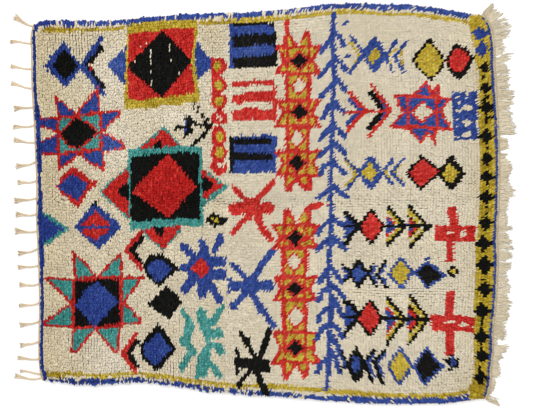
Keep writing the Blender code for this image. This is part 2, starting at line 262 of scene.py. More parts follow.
# The fringe
LOCK_PITCH = 10.4
LOCK_SWAY = 0.04
LOCK_SHORTER = 0.16
LOCK_LONGER = 0.064
LOCK_SEED = 5
FRINGE_STRANDS = 9
FRINGE_STEPS = (0.0, 0.25, 0.55, 0.82, 1.0)
FRINGE_SPREAD = (1.0, 1.0, 0.75, 0.5, 0.35)
FRINGE_HEIGHTS = ((0.0, 3.0), (0.4, 2.6), (1.0, 1.0))
FRINGE_LIFT = (0.3, 1.0, 1.0, 0.8, 0.3)
FRINGE_LIFT_VARIES = (-0.6, 1.0)
FRINGE_REACH_VARIES = (0.95, 1.38)
FRINGE_WISP = (3.4, 2.2)
WISP_SIDES = 3
FRINGE_STRAY = 0.18
FRINGE_CURL = 0.05
FRINGE_TURN = 5.0  # degrees
FRINGE_TONE_UNEVEN = 0.04
FRINGE_AGE_UNEVEN = 0.08
LOCK_AGE_UNEVEN = 0.05
LOCK_AGE_SWING = 0.15
LOCK_AGE_WAVES = (70.0, 29.0)
STEEP_LEAN = 25.0  # locks that lean more than this spread over a wider root
STEEP_SPREAD = 1.6

# The wools: a colour when darkest and yellowest, its usual one, and one worn pale, as shown on a screen
DYES = {
    "cream": Shades((202, 188, 157), (214, 204, 182), (223, 214, 197)),
    "blue": Shades((38, 54, 122), (54, 77, 146), (82, 102, 162)),
    "red": Shades((166, 28, 26), (198, 50, 45), (210, 88, 76)),
    "black": Shades((15, 15, 14), (24, 24, 22), (40, 38, 35)),
    "mustard": Shades((150, 126, 30), (192, 168, 60), (206, 186, 90)),
    "teal": Shades((52, 124, 119), (80, 156, 149), (120, 176, 166)),
}
CREAM, BLUE, RED, BLACK, MUSTARD, TEAL = range(6)
YARNS = {
    "tan_yarn": Shades((171, 150, 121), (206, 186, 157), (228, 212, 187)),
    "warp_yarn": Shades((184, 169, 140), (211, 199, 173), (225, 216, 195)),
    "strip_yarn": Shades((190, 175, 146), (214, 201, 175), (226, 217, 198)),
    "twine_yarn": Shades((140, 118, 88), (176, 156, 122), (198, 180, 150)),
}
STREAKS = (260.0, 3.0)  # scale and detail of the noise
STREAK_NOISE = (0.3, 0.7)  # where the noise gives the levels below
STREAK_LEVELS = (0.86, 1.1)
FIBRES = (900.0, 2.0)
WOOL_ROUGHNESS = 0.95
WOOL_GLOSS = 0.05
WOOL_BUMP = (0.35, 0.0008)  # strength and distance
WEAVE_GLOSS = 0.15
# Painted shade: the weave is coloured darker between its bars, where shade falls, than on them
WEAVE_PAINTED_SHADE = (0.45, 0.95)  # how dark the weave is between its bars, and on them
WEAVE_BUMP = (0.7, 0.0015)
MIX_A, MIX_B, MIX_RESULT = 6, 7, 2  # the colour sockets of a mix node

# The maps for baking. A strand has a cell, with its walls side by side above the cap of its root.
MAP_LEFT = 0.03  # where the walls start, how wide they are together, and less the gaps between them
MAP_WIDE = 0.94
MAP_FACE = 0.90
MAP_HEIGHTS = (0.14, 0.95)
MAP_CAP_MIDDLE = (0.12, 0.07)
MAP_CAP_RADIUS = 0.05
GROUND_MAP = (0.49, 0.95)  # what the upper side takes, and the lower side beside it
GROUND_MAP_APART = 0.51
RIM_MAP_WIDTH = 0.8
RIM_MAP_HEIGHTS = (0.97, 0.99)

# Outline of the pile on the plan, corner to corner, close to the solids'
TOP_EDGE = [Place(*point) for point in (
    (-906, 721), (-885, 731), (-810, 735), (-700, 732), (-600, 734), (-500, 745), (-350, 755), (-130, 763),
    (20, 773), (150, 787), (278, 801), (390, 803), (480, 797), (600, 797), (710, 784), (810, 766),
    (876, 757),
)]
BOTTOM_EDGE = [Place(*point) for point in (
    (-872, -706), (-812, -713), (-744, -718), (-642, -720), (-506, -712), (-438, -717), (-370, -725),
    (-234, -748), (-98, -761), (50, -772), (270, -790), (430, -801), (600, -803), (740, -800), (830, -790),
    (888, -781),
)]
LEFT_EDGE = [Place(*point) for point in (
    (-872, -706), (-878, -693), (-884, -665), (-888, -615), (-889, -560), (-886, -430), (-888, -305),
    (-891, -215), (-898, -65), (-898, 95), (-902, 190), (-907, 320), (-916, 455), (-918, 600), (-916, 695),
    (-906, 721),
)]
RIGHT_EDGE = [Place(*point) for point in (
    (888, -781), (903, -735), (910, -645), (916, -585), (915, -513), (924, -430), (932, -325), (935, -233),
    (932, -125), (939, 0), (941, 120), (938, 295), (930, 430), (922, 560), (919, 650), (901, 718),
    (876, 757),
)]

# Soft folds left in the pile from when the rug was stored
CREASES = [
    Crease(Place(-250, -5), Place(870, 5), 4.0, 24.0),
    Crease(Place(350, -355), Place(860, -345), 3.0, 22.0),
    Crease(Place(-135, -690), Place(-128, 700), 3.0, 22.0),
    Crease(Place(170, -730), Place(168, 740), 2.5, 22.0),
    Crease(Place(574, -740), Place(592, 740), 4.0, 14.0),
]

# The tasselled cords, from the top down. bow is how far a cord's middle lies above the line to its tip.
TASSELS = [Tassel(*row) for row in (
    (712, -997, 755, -6, 56, 25), (643, -1010, 648, 3, 42, 13), (542, -1008, 551, -2, 26, 18),
    (463, -1006, 484, -2, 34, 16), (388, -996, 380, 1, 40, 22), (316, -998, 307, -3, 34, 17),
    (247, -996, 256, -3, 38, 22), (172, -988, 150, -7, 34, 22), (94, -980, 83, -4, 26, 22),
    (25, -996, 11, -3, 46, 22), (-40, -988, -43, -5, 34, 22), (-109, -992, -109, -4, 40, 26),
    (-176, -980, -200, -7, 32, 20), (-246, -980, -257, -2, 36, 18), (-319, -974, -325, -6, 34, 18),
    (-395, -974, -409, -5, 32, 14), (-469, -972, -488, -4, 34, 18), (-550, -970, -571, -3, 30, 20),
    (-622, -981, -618, -3, 44, 15), (-684, -969, -671, 2, 16, 12), (-697, -992, -689, -9, 38, 19),
)]

# The fringe, clump by clump from the top down. A reach is measured from the strip, and a lean is degrees
# above +X.
CLUMPS = [Clump(*row) for row in (
    (757, 722, 48, 50, 72, 62, 27), (720, 655, 66, 66, 34, 24, 2), (653, 594, 26, 36, 20, 6, 4),
    (586, 563, 56, 64, 44, 20, 6), (561, 520, 40, 42, 56, 2, 8), (518, 482, 50, 48, 38, 6, 0),
    (480, 448, 58, 50, 40, 4, 6), (446, 410, 66, 60, 50, 10, 5), (408, 374, 48, 58, 36, 6, 0),
    (372, 278, 44, 50, 60, 0, 0), (268, 214, 26, 34, 28, -3, 4), (206, 184, 28, 20, 16, -12, -5),
    (182, 114, 26, 46, 34, -4, 4), (112, 72, 42, 30, 40, 2, 0), (70, 16, 38, 56, 28, 2, -2),
    (14, -30, 42, 34, 28, 0, -2), (-32, -90, 24, 34, 36, 0, 0), (-93, -113, 58, 50, 30, 0, 6),
    (-118, -184, 32, 54, 50, 2, -2), (-186, -228, 36, 52, 32, -4, 5), (-236, -282, 42, 48, 28, 2, -2),
    (-290, -332, 28, 40, 34, -4, 0), (-336, -374, 52, 42, 32, 10, 3), (-378, -432, 46, 62, 44, 2, -2),
    (-436, -484, 44, 46, 44, 0, 0), (-488, -540, 38, 46, 40, 0, -10), (-543, -563, 12, 14, 16, 0, -4),
    (-566, -628, 60, 38, 24, -4, -5), (-630, -700, 24, 30, 26, -4, 0), (-704, -762, 14, 18, 10, 0, -4),
    (-770, -780, 58, 58, 58, -27, -27),
)]

# The red and mustard stars, and the cells that link them
STARS = [
    Star((1200, 242), 183, 296, 1104, 1286, 1150, 1236),
    Star((1198, 446), 400, 507, 1100, 1284, 1152, 1234),
    Star((1188, 652), 604, 704, 1102, 1288, 1150, 1228),
    Star((1180, 950), 898, 993, 1090, 1278, 1136, 1224),
    Star((1180, 1154), 1106, 1202, 1092, 1272, 1134, 1220),
    Star((1182, 1391), 1327, 1454, 1088, 1284, 1140, 1222),
]
STAR_LINKS = [
    (STARS[0], STARS[1], Window((1196, 342), (28, 32))),
    (STARS[1], STARS[2], Window((1188, 554), (25, 37))),
    (STARS[3], STARS[4], Window((1178, 1048), (29, 36))),
    (STARS[4], STARS[5], Window((1184, 1266), (32, 42))),
]
# Outlines of the horns above and the legs below each group, and the cells inside them
STAR_HORNS = [
    ((1132, 186), (1134, 140), (1152, 126), (1176, 160), (1196, 186)),
    ((1194, 186), (1208, 150), (1222, 118), (1236, 130), (1250, 186)),
    ((1136, 700), (1192, 700), (1190, 732), (1172, 742), (1164, 766), (1142, 768)),
    ((1186, 700), (1244, 700), (1252, 728), (1246, 762), (1216, 764), (1188, 732)),
    ((1130, 896), (1130, 840), (1152, 832), (1172, 856), (1186, 896)),
    ((1192, 896), (1206, 856), (1226, 826), (1254, 826), (1244, 850), (1246, 896)),
    ((1124, 1446), (1190, 1446), (1186, 1472), (1168, 1488), (1150, 1520), (1136, 1520), (1128, 1484)),
    ((1182, 1446), (1240, 1446), (1236, 1500), (1214, 1518), (1200, 1490), (1184, 1470)),
]
HORN_CELLS = [
    ((1148, 180), (1152, 150), (1172, 180)), ((1204, 180), (1222, 142), (1236, 180)),
    ((1152, 704), (1178, 704), (1168, 728), (1152, 738)),
    ((1200, 704), (1228, 704), (1228, 738), (1208, 730)),
    ((1148, 892), (1150, 862), (1176, 892)), ((1200, 888), (1216, 852), (1230, 856), (1226, 888)),
    ((1142, 1450), (1172, 1450), (1160, 1484), (1144, 1488)),
    ((1196, 1450), (1224, 1450), (1220, 1490), (1208, 1484)),
]

STAR_WAIST = 32  # how far a star's sides draw in
STAR_BAR = 12
STAR_HEART = (46, 47)
STAR_CORE = (37, 37)
STAR_CORE_POWER = 0.78
STAR_LINK_RIM = (11, 12)

# The blue stem with drooping arms, on the left and on the right
TREE_TRUNK = (
    (1334, 56), (1332, 120), (1332, 240), (1338, 320), (1332, 400), (1330, 460), (1332, 520),
    (1328, 600), (1324, 680), (1324, 800), (1326, 860), (1324, 940), (1320, 1000), (1314, 1060),
    (1314, 1120), (1324, 1200), (1324, 1260), (1318, 1360), (1314, 1440), (1314, 1500), (1304, 1556),
)
TREE_LEFT_ARMS = (
    ((1328, 146), (1284, 208)), ((1326, 248), (1282, 306)), ((1328, 336), (1284, 386)),
    ((1322, 416), (1288, 474)), ((1324, 506), (1278, 560)), ((1320, 586), (1276, 624)),
    ((1320, 650), (1296, 664), (1282, 694)), ((1316, 760), (1272, 792)),
    ((1322, 880), (1296, 900), (1272, 932)), ((1318, 954), (1292, 972), (1272, 1000)),
    ((1308, 1084), (1276, 1132)), ((1312, 1154), (1292, 1164), (1274, 1204)),
    ((1316, 1232), (1292, 1248), (1270, 1288)), ((1312, 1296), (1288, 1316), (1268, 1356)),
    ((1312, 1432), (1288, 1452), (1270, 1490)),
)
TREE_RIGHT_ARMS = (
    ((1336, 128), (1362, 150), (1376, 182)), ((1340, 228), (1366, 254), (1384, 280)),
    ((1344, 312), (1364, 336), (1380, 360)), ((1344, 408), (1360, 436), (1382, 448)),
    ((1338, 500), (1362, 526), (1378, 548)), ((1338, 570), (1360, 596), (1380, 612)),
    ((1334, 644), (1356, 672), (1376, 692)), ((1334, 744), (1362, 772), (1384, 784)),
    ((1330, 866), (1360, 892), (1386, 908)), ((1326, 942), (1356, 968), (1382, 998)),
    ((1320, 1064), (1340, 1090), (1370, 1130)), ((1320, 1134), (1344, 1156), (1374, 1188)),
    ((1330, 1190), (1352, 1228), (1374, 1270)), ((1324, 1284), (1352, 1316), (1374, 1352)),
    ((1326, 1340), (1350, 1384), (1388, 1464)), ((1324, 1404), (1344, 1440), (1362, 1490)),
)
TREE_TRUNK_WIDTH = 19
TREE_ARM_WIDTH = 21

# A head that points right in rows 4 and 6: what its slanted sides are made of, from the outside in
SMALL_HEAD = ((BLACK, 0), (MUSTARD, 13), (CREAM, 23), (RED, 29), (BLUE, 36))
LARGE_HEAD = (
    (BLACK, 0), (MUSTARD, 12), (CREAM, 20), (MUSTARD, 24), (BLACK, 30), (RED, 37), (BLUE, 51),
)

# Borders, measured from the edges of the pile. The blue line along the top: how deep it reaches, column by
# column, and where cream knots mix with it, as from, to and share.
TOP_BLUE_RUN = (154, 1872)
TOP_BLUE_DEPTH = (
    (150, 24), (216, 24), (240, 17), (262, 28), (284, 28), (300, 20), (440, 22), (480, 20), (520, 24),
    (560, 18), (640, 18), (700, 20), (800, 21), (832, 15), (884, 17), (930, 17), (944, 28), (980, 21),
    (1008, 18), (1180, 19), (1240, 20), (1320, 24), (1640, 25), (1872, 23),
)
TOP_CREAM = (
    (222, 250, 0.35), (292, 312, 0.4), (342, 380, 0.4), (432, 458, 0.5), (484, 500, 0.35),
    (910, 934, 0.65), (1040, 1210, 0.36), (1446, 1458, 0.65), (1504, 1512, 0.5), (1644, 1658, 0.5),
)
TOP_MUSTARD_RUNS = ((170, 496), (796, 1072), (1072, 1872))
TOP_MUSTARD_LINE = (
    (160, 41), (250, 38), (360, 35), (440, 34), (496, 34), (800, 34), (860, 36), (980, 32), (1200, 37),
    (1360, 34), (1520, 37), (1600, 39), (1760, 39), (1840, 36), (1872, 35),
)
# The same along the bottom
BOTTOM_BLUE_RUN = (166, 1876)
BOTTOM_BLUE_DEPTH = (
    (166, 12), (226, 10), (240, 14), (320, 20), (440, 20), (470, 16), (560, 18), (600, 14), (680, 14),
    (720, 21), (800, 21), (850, 19), (950, 21), (1060, 24), (1160, 22), (1200, 18), (1320, 22), (1400, 27),
    (1720, 27), (1876, 25),
)
BOTTOM_CREAM = (
    (250, 350, 0.25), (580, 700, 0.2), (800, 812, 0.6), (830, 900, 0.35), (896, 918, 0.7),
    (944, 1000, 0.45), (1010, 1030, 0.4), (1160, 1176, 0.6), (1190, 1216, 0.6), (1392, 1404, 0.8),
)
MIXED_ELSEWHERE = 0.04
RAGGED = 6.0  # how unevenly the blue lines end
RAGGED_LUCK = 13.0
MUSTARD_HALF = 8.0
MUSTARD_UNEVEN = 5.0
MUSTARD_LUCK = 7.0
BOTTOM_MUSTARD_HALF = ((196, 9.5), (400, 9), (640, 8.5), (1000, 8.5), (1300, 9), (1560, 9), (1876, 8))
BOTTOM_MUSTARD_RUN = (180, 1876)
BOTTOM_MUSTARD_LINE = (  # x and depth of its middle
    (196, 26), (280, 38), (380, 32), (480, 34), (600, 32), (720, 32), (840, 34), (960, 36), (1080, 42),
    (1200, 42), (1320, 38), (1400, 40), (1560, 36), (1680, 32), (1800, 34), (1876, 40),
)
SIDE_BLUE = 11.5  # one column of knots
LEFT_BLUE = (  # row, and the line's width there
    (400, 13), (440, 16), (520, 20), (600, 20), (640, 16), (720, 14), (860, 16), (1000, 17), (1060, 15),
    (1100, 12), (1400, 12), (1500, 14),
)
RIGHT_BLUE_FROM = 54
RIGHT_BAND_INNER = (  # row, and where the band starts
    (64, 1872), (120, 1884), (220, 1904), (320, 1914), (520, 1920), (820, 1920), (960, 1908), (1040, 1900),
    (1380, 1900), (1488, 1898), (1552, 1880), (1596, 1880),
)
# Lozenges in the right-hand band: dye, middle, reach
BAND_FIGURES = (
    (BLUE, (1919, 133), (33, 25)), (BLUE, (1928, 200), (28, 32)), (BLACK, (1940, 272), (20, 24)),
    (BLACK, (1942, 352), (22, 24)), (BLACK, (1944, 430), (28, 26)), (BLACK, (1945, 545), (29, 29)),
    (BLACK, (1948, 634), (24, 27)), (BLACK, (1948, 710), (27, 26)), (BLACK, (1945, 788), (29, 27)),
    (BLACK, (1943, 892), (27, 28)), (BLACK, (1934, 974), (34, 30)), (BLACK, (1939, 1060), (35, 36)),
    (BLACK, (1939, 1158), (31, 30)), (BLACK, (1932, 1244), (32, 32)), (BLACK, (1926, 1348), (26, 32)),
    (BLACK, (1928, 1424), (28, 28)), (BLACK, (1922, 1512), (26, 28)),
)
BAND_DOTS = (
    (1936, 308), (1964, 448), (1948, 592), (1948, 828), (1948, 854), (1938, 1118), (1926, 1284),
    (1928, 1296), (1922, 1472),
)
BAND_DOT_REACH = (7, 7)
BAND_FIGURE_STRETCH = (1.15, 1.25)  # how much the hollow sides lengthen a figure
BAND_FIGURE_POWER = 0.88  # 1 has straight sides, and less has hollow ones


class Chart:
    """The dye of every knot, painted motif by motif. What is painted later covers what is there."""

    def __init__(self, places, random):
        self.x, self.y = places[..., 0], places[..., 1]
        self.luck = random.random(self.x.shape)
        self.dye = np.full(self.x.shape, CREAM)

    def other_luck(self, turns):
        """The luck of every knot from -0.5 to 0.5, in another order for each number of turns."""
        return np.modf(self.luck * turns)[0] - 0.5

    def paint(self, where, dye):
        self.dye[where] = dye

    def beside(self, start, end):
        """How far each knot lies from the straight line between two places."""
        run = np.subtract(end, start).astype(float)
        length_squared = max(run @ run, TINY)
        share = ((self.x - start[0]) * run[0] + (self.y - start[1]) * run[1]) / length_squared
        share = np.clip(share, 0.0, 1.0)
        return np.hypot(self.x - start[0] - share * run[0], self.y - start[1] - share * run[1])

    def depth(self, corners):
        """How deep each knot lies inside a shape, and less than zero outside it."""
        inside = np.zeros(self.x.shape, bool)
        nearest = np.full(self.x.shape, np.inf)
        for start, end in zip(corners, corners[1:] + corners[:1]):
            nearest = np.minimum(nearest, self.beside(start, end))
            if start[1] != end[1]:
                crossing = start[0] + (self.y - start[1]) * (end[0] - start[0]) / (end[1] - start[1])
                inside ^= ((start[1] > self.y) != (end[1] > self.y)) & (self.x < crossing)
        return np.where(inside, nearest, -nearest)

    def fill(self, corners, *layers):
        """A shape in layers, each a dye and the depth at which it starts."""
        depth = self.depth(tuple(corners))
        for dye, start in layers:
            self.paint(depth >= start, dye)

    def patch(self, dye, *corners):
        """A shape of one dye."""
        self.paint(self.depth(corners) >= 0, dye)

    def stroke(self, dye, width, *points):
        """A line through points."""
        for start, end in zip(points, points[1:]):
            self.paint(self.beside(start, end) <= width / 2, dye)

    def strokes(self, dye, *lines):
        """Several lines of one dye, each a width and its points."""
        for width, *points in lines:
            self.stroke(dye, width, *points)

    def blob(self, dye, centre, reach, power=2.0):
        """A round shape, or a lozenge where the power is 1."""
        across = np.abs(self.x - centre[0]) / reach[0]
        down = np.abs(self.y - centre[1]) / reach[1]
        self.paint(across**power + down**power <= 1.0, dye)

    def arrow(self, tip, upper, lower, *layers):
        """A head that points right, in layers that follow its two slanted sides only."""
        inside = self.depth((tip, upper, lower)) >= 0
        depth = np.minimum(self.beside(tip, upper), self.beside(tip, lower))
        for dye, start in layers:
            self.paint(inside & (depth >= start), dye)


def paint_left_lozenges(chart):
    """The lozenges between the left edge and the medallions, with the hook beside the first."""
    chart.patch(BLUE, (252, 160), (184, 262), (264, 352), (326, 264))
    chart.patch(BLACK, (254, 192), (212, 262), (262, 322), (312, 262))
    for row, left, right in ((220, 200, 226), (240, 188, 214), (262, 176, 206), (284, 186, 214)):
        chart.stroke(BLUE, 8, (left, row), (right, row + 8))
    chart.stroke(BLUE, 22, (330, 264), (402, 156))
    chart.stroke(BLACK, 20, (346, 262), (404, 192))
    chart.strokes(BLUE, (24, (328, 264), (388, 340)), (18, (384, 336), (418, 378)))
    chart.stroke(BLACK, 15, (346, 256), (416, 348))
    chart.stroke(RED, 9, (360, 262), (368, 280))
    chart.patch(
        RED, (292, 660), (252, 702), (224, 748), (262, 790), (309, 830), (336, 796), (364, 752), (390, 734),
        (344, 700),
    )
    chart.patch(BLUE, (290, 694), (226, 748), (312, 804), (354, 736))
    chart.patch(BLUE, (377, 808), (296, 908), (392, 998), (488, 904))
    chart.patch(RED, (384, 844), (322, 902), (326, 926), (380, 966), (432, 924), (440, 896))
    chart.stroke(BLUE, 11, (328, 912), (372, 906), (400, 912), (440, 906))
    chart.stroke(BLACK, 9, (368, 818), (384, 812))
    chart.fill(((130, 836), (190, 856), (278, 914), (190, 978), (130, 1012)), (TEAL, 0), (BLUE, 13))


def paint_middle_lozenges(chart):
    """The black lozenges under the medallions, the hooks left of them and the small lozenge beside them."""
    chart.patch(
        BLACK, (640, 1010), (604, 1018), (584, 1036), (574, 1064), (582, 1096), (606, 1124), (634, 1148),
        (666, 1114), (717, 1077), (676, 1036),
    )
    chart.patch(BLUE, (636, 1032), (594, 1056), (588, 1076), (604, 1104), (632, 1134), (690, 1074))
    chart.patch(BLACK, (668, 1142), (586, 1214), (676, 1280), (730, 1204))
    chart.patch(
        BLACK, (632, 1292), (560, 1384), (568, 1430), (594, 1456), (622, 1482), (644, 1476), (664, 1446),
        (708, 1396),
    )
    chart.patch(BLUE, (632, 1326), (572, 1388), (582, 1430), (624, 1462), (650, 1434), (686, 1394))
    chart.stroke(BLACK, 20, (568, 952), (526, 1002), (564, 1052))
    chart.stroke(RED, 17, (566, 928), (502, 1002), (566, 1074))
    chart.stroke(BLACK, 21, (548, 1366), (512, 1412), (546, 1462))
    chart.stroke(RED, 18, (546, 1334), (492, 1412), (542, 1486))
    small = (
        (824, 868), (846, 862), (856, 846), (876, 863), (918, 880), (892, 899), (870, 898), (858, 914),
        (846, 898), (828, 894),
    )
    chart.patch(BLACK, *small)
    chart.strokes(MUSTARD, (6, (846, 872), (872, 888)), (6, (866, 872), (852, 894)))


def paint_upper_medallion(chart):
    """A red square with a mustard border, a black lozenge inside and blue points at its sides."""
    border = (
        (508, 96), (600, 86), (700, 76), (788, 76), (790, 120), (778, 248), (796, 360), (796, 408),
        (688, 418), (580, 436), (496, 436), (498, 320), (504, 200),
    )
    square = (
        (516, 134), (600, 128), (672, 112), (776, 110), (778, 128), (764, 248), (782, 370), (688, 384),
        (600, 392), (568, 400), (510, 396), (512, 264),
    )
    chart.patch(BLUE, (428, 260), (508, 184), (508, 352))
    chart.patch(BLUE, (780, 158), (838, 228), (862, 250), (780, 326))
    chart.patch(MUSTARD, *border)
    chart.patch(RED, *square)
    chart.patch(BLACK, (652, 122), (506, 267), (648, 391), (767, 243))


def paint_lower_medallion(chart):
    """A black square with a teal border and a red lozenge inside, and a layered point on each side."""
    border = (
        (512, 596), (640, 588), (810, 582), (806, 700), (811, 800), (813, 904), (720, 900), (620, 908),
        (520, 922), (514, 760),
    )
    square = (
        (522, 624), (600, 618), (720, 608), (796, 612), (794, 700), (799, 780), (799, 876), (740, 874),
        (640, 876), (524, 890),
    )
    left = ((398, 766), (440, 722), (530, 650), (530, 890), (436, 806))
    above = ((530, 608), (570, 574), (656, 506), (720, 574), (740, 608))
    below = ((556, 890), (562, 916), (592, 954), (652, 1004), (700, 950), (726, 916), (726, 890))
    right = ((790, 652), (832, 690), (910, 742), (836, 790), (790, 830))
    for point in (left, above, below, right):
        chart.fill(point, (TEAL, 0), (RED, 7))
    chart.stroke(TEAL, 12, (908, 746), (816, 816))
    chart.patch(BLACK, (466, 764), (520, 722), (520, 806))
    chart.patch(BLACK, (600, 600), (628, 566), (644, 560), (648, 600))
    chart.patch(BLACK, (606, 900), (652, 900), (650, 944), (638, 944))
    chart.patch(BLACK, (796, 700), (830, 710), (852, 738), (826, 768), (796, 786))
    chart.patch(TEAL, *border)
    chart.patch(BLACK, *square)
    chart.patch(RED, (672, 612), (524, 764), (676, 872), (786, 744))


def paint_pointed_stars(chart):
    """The three eight-pointed stars, each with a square and a core inside."""
    upper_left = (
        (216, 374), (304, 450), (392, 346), (402, 448), (486, 438), (480, 458), (412, 528), (484, 564),
        (498, 582), (496, 600), (416, 609), (420, 683), (352, 654), (316, 620), (284, 646), (232, 684),
        (230, 620), (126, 622), (126, 578), (164, 562), (228, 532), (192, 516), (126, 500), (126, 466),
        (230, 468),
    )
    chart.fill(upper_left, (RED, 0), (BLUE, 9))
    square = ((232, 470), (306, 462), (402, 448), (404, 600), (312, 606), (232, 616))
    chart.fill(square, (RED, -6), (TEAL, 7))
    core = (
        (304, 468), (318, 486), (352, 495), (384, 528), (356, 556), (334, 573), (308, 589), (266, 574),
        (262, 558), (240, 534), (266, 510), (284, 494),
    )
    chart.fill(core, (RED, -9), (BLACK, 0))

    lower_left = (
        (288, 1000), (348, 1054), (388, 1104), (440, 1044), (488, 1008), (490, 1106), (578, 1104),
        (500, 1208), (568, 1276), (566, 1300), (484, 1300), (474, 1410), (458, 1416), (380, 1320),
        (308, 1412), (280, 1408), (288, 1312), (176, 1304), (170, 1288), (280, 1212), (168, 1106),
        (296, 1116),
    )
    chart.fill(lower_left, (RED, 0), (TEAL, 10))
    square = ((294, 1116), (486, 1108), (484, 1300), (388, 1308), (292, 1312))
    chart.fill(square, (RED, -7), (BLACK, 7))
    chart.stroke(RED, 16, (490, 1112), (568, 1110))
    core = (
        (392, 1124), (432, 1164), (476, 1204), (432, 1252), (376, 1312), (336, 1260), (300, 1220),
        (336, 1160),
    )
    chart.patch(BLUE, *core)

    right = (
        (1708, 322), (1728, 366), (1760, 326), (1762, 386), (1808, 392), (1770, 446), (1813, 520),
        (1752, 520), (1746, 580), (1712, 538), (1684, 576), (1640, 522), (1556, 508), (1608, 448),
        (1572, 376), (1646, 378),
    )
    chart.fill(right, (RED, 0), (BLUE, 12))
    chart.fill(((1632, 384), (1748, 388), (1748, 514), (1634, 504)), (RED, -8), (BLUE, 8))
    chart.fill(((1692, 412), (1652, 448), (1688, 484), (1728, 448)), (RED, -10), (CREAM, 0))


def paint_black_figure(chart):
    """The small branching figure between the two medallions."""
    chart.strokes(
        BLACK, (7, (774, 436), (780, 416)), (8, (790, 444), (796, 426)), (12, (804, 454), (812, 468)),
        (12, (820, 484), (834, 478)), (13, (704, 510), (760, 508)),
        (15, (762, 482), (792, 500), (844, 502)), (13, (848, 490), (824, 530), (766, 582)),
        (14, (756, 524), (738, 548)), (14, (738, 478), (760, 466)), (22, (758, 474), (758, 526)),
    )
    chart.blob(BLUE, (744, 490), (6, 9))
    chart.blob(BLUE, (740, 520), (6, 10))


def paint_chain(chart):
    """The red column of discs with mustard cores beside the striped blocks."""
    chart.patch(RED, (842, 230), (876, 230), (882, 432), (850, 432))
    chart.stroke(RED, 18, (872, 432), (888, 456))
    chart.patch(RED, (850, 508), (892, 508), (892, 694), (850, 694))
    for y in (264, 338, 406, 546, 608, 668):
        chart.blob(RED, (876, y), (32, 32))
    chart.blob(RED, (878, 472), (31, 25), 2.5)
    for core in ((868, 264), (874, 338), (876, 406), (878, 546), (878, 608)):
        chart.blob(MUSTARD, core, (17, 18))
    chart.stroke(CREAM, 8, (868, 460), (888, 478))
    chart.blob(CREAM, (884, 660), (17, 9))


def paint_striped_block(chart, left, right, left_rows, right_rows, dyes):
    """Stripes between two columns, whose bounds fall or rise slightly from the left to the right."""
    starts = [(left, row) for row in left_rows]
    ends = [(right, row) for row in right_rows]
    for k, dye in enumerate(dyes):
        chart.patch(dye, starts[k], ends[k], ends[k + 1], starts[k + 1])


def paint_blocks(chart):
    """The column of striped blocks and bars right of the chain."""
    chart.patch(BLUE, (918, 98), (934, 94), (934, 272), (918, 272))
    left_rows, right_rows = (90, 102, 140, 188, 230, 272), (88, 100, 134, 174, 216, 264)
    paint_striped_block(chart, 934, 1096, left_rows, right_rows, (BLACK, BLUE, BLACK, BLUE, BLACK))
    chart.stroke(BLACK, 10, (934, 150), (990, 180))
    chart.patch(BLACK, (1096, 122), (1108, 122), (1108, 270), (1096, 270))
    chart.stroke(RED, 19, (936, 334), (968, 340), (1016, 326), (1090, 330))
    second_bar = (
        (930, 374), (960, 378), (1000, 364), (1090, 364), (1092, 344), (1106, 344), (1106, 412),
        (1050, 406), (1000, 406), (960, 416), (930, 412),
    )
    chart.patch(RED, *second_bar)
    chart.patch(RED, (1092, 404), (1106, 404), (1106, 432), (1092, 432))
    third_bar = (
        (930, 438), (1000, 432), (1060, 438), (1092, 430), (1108, 424), (1108, 484), (1048, 480),
        (1000, 478), (930, 482),
    )
    chart.patch(RED, *third_bar)
    chart.patch(BLACK, (918, 544), (934, 544), (934, 690), (918, 690))
    left_rows, right_rows = (542, 552, 578, 611, 642, 690), (538, 551, 574, 613, 640, 688)
    paint_striped_block(chart, 934, 1090, left_rows, right_rows, (BLUE, BLACK, BLUE, BLACK, BLUE))
    chart.patch(BLUE, (1088, 542), (1108, 542), (1104, 690), (1088, 690))


def paint_asterisks(chart):
    """The red, blue and black figures of spokes under the blocks."""
    chart.stroke(RED, 44, (934, 834), (1078, 832))
    chart.blob(RED, (1008, 826), (38, 38))
    chart.strokes(
        RED, (21, (988, 804), (932, 750)), (24, (1022, 808), (1060, 766), (1092, 728)),
        (22, (1000, 868), (968, 888), (932, 930)), (30, (1030, 858), (1044, 904), (1082, 952)),
    )

    chart.stroke(BLUE, 42, (934, 1142), (1076, 1142))
    for centre, reach in (
        ((1006, 1140), (38, 38)), ((1072, 1142), (26, 26)), ((916, 1118), (11, 9)),
        ((920, 1142), (12, 9)), ((914, 1166), (10, 8)),
    ):
        chart.blob(BLUE, centre, reach)
    chart.strokes(
        BLUE, (22, (926, 1054), (992, 1118)), (27, (1092, 1004), (1050, 1054), (1012, 1112)),
        (22, (992, 1164), (938, 1222)), (27, (1006, 1164), (1022, 1196), (1047, 1238), (1094, 1300)),
    )
    chart.blob(BLUE, (936, 1224), (18, 16))

    bar = ((936, 1426), (1000, 1430), (1076, 1440), (1084, 1490), (1000, 1476), (938, 1476))
    chart.patch(BLACK, *bar)
    chart.blob(BLACK, (984, 1358), (19, 15))
    chart.strokes(
        BLACK, (14, (964, 1332), (980, 1350)), (19, (986, 1362), (1022, 1432)),
        (24, (1078, 1322), (1060, 1370), (1040, 1424)), (13, (948, 1398), (960, 1432)),
        (13, (942, 1466), (950, 1492)), (19, (1012, 1478), (964, 1520), (956, 1550)),
        (28, (1026, 1484), (1046, 1532), (1066, 1576)),
    )


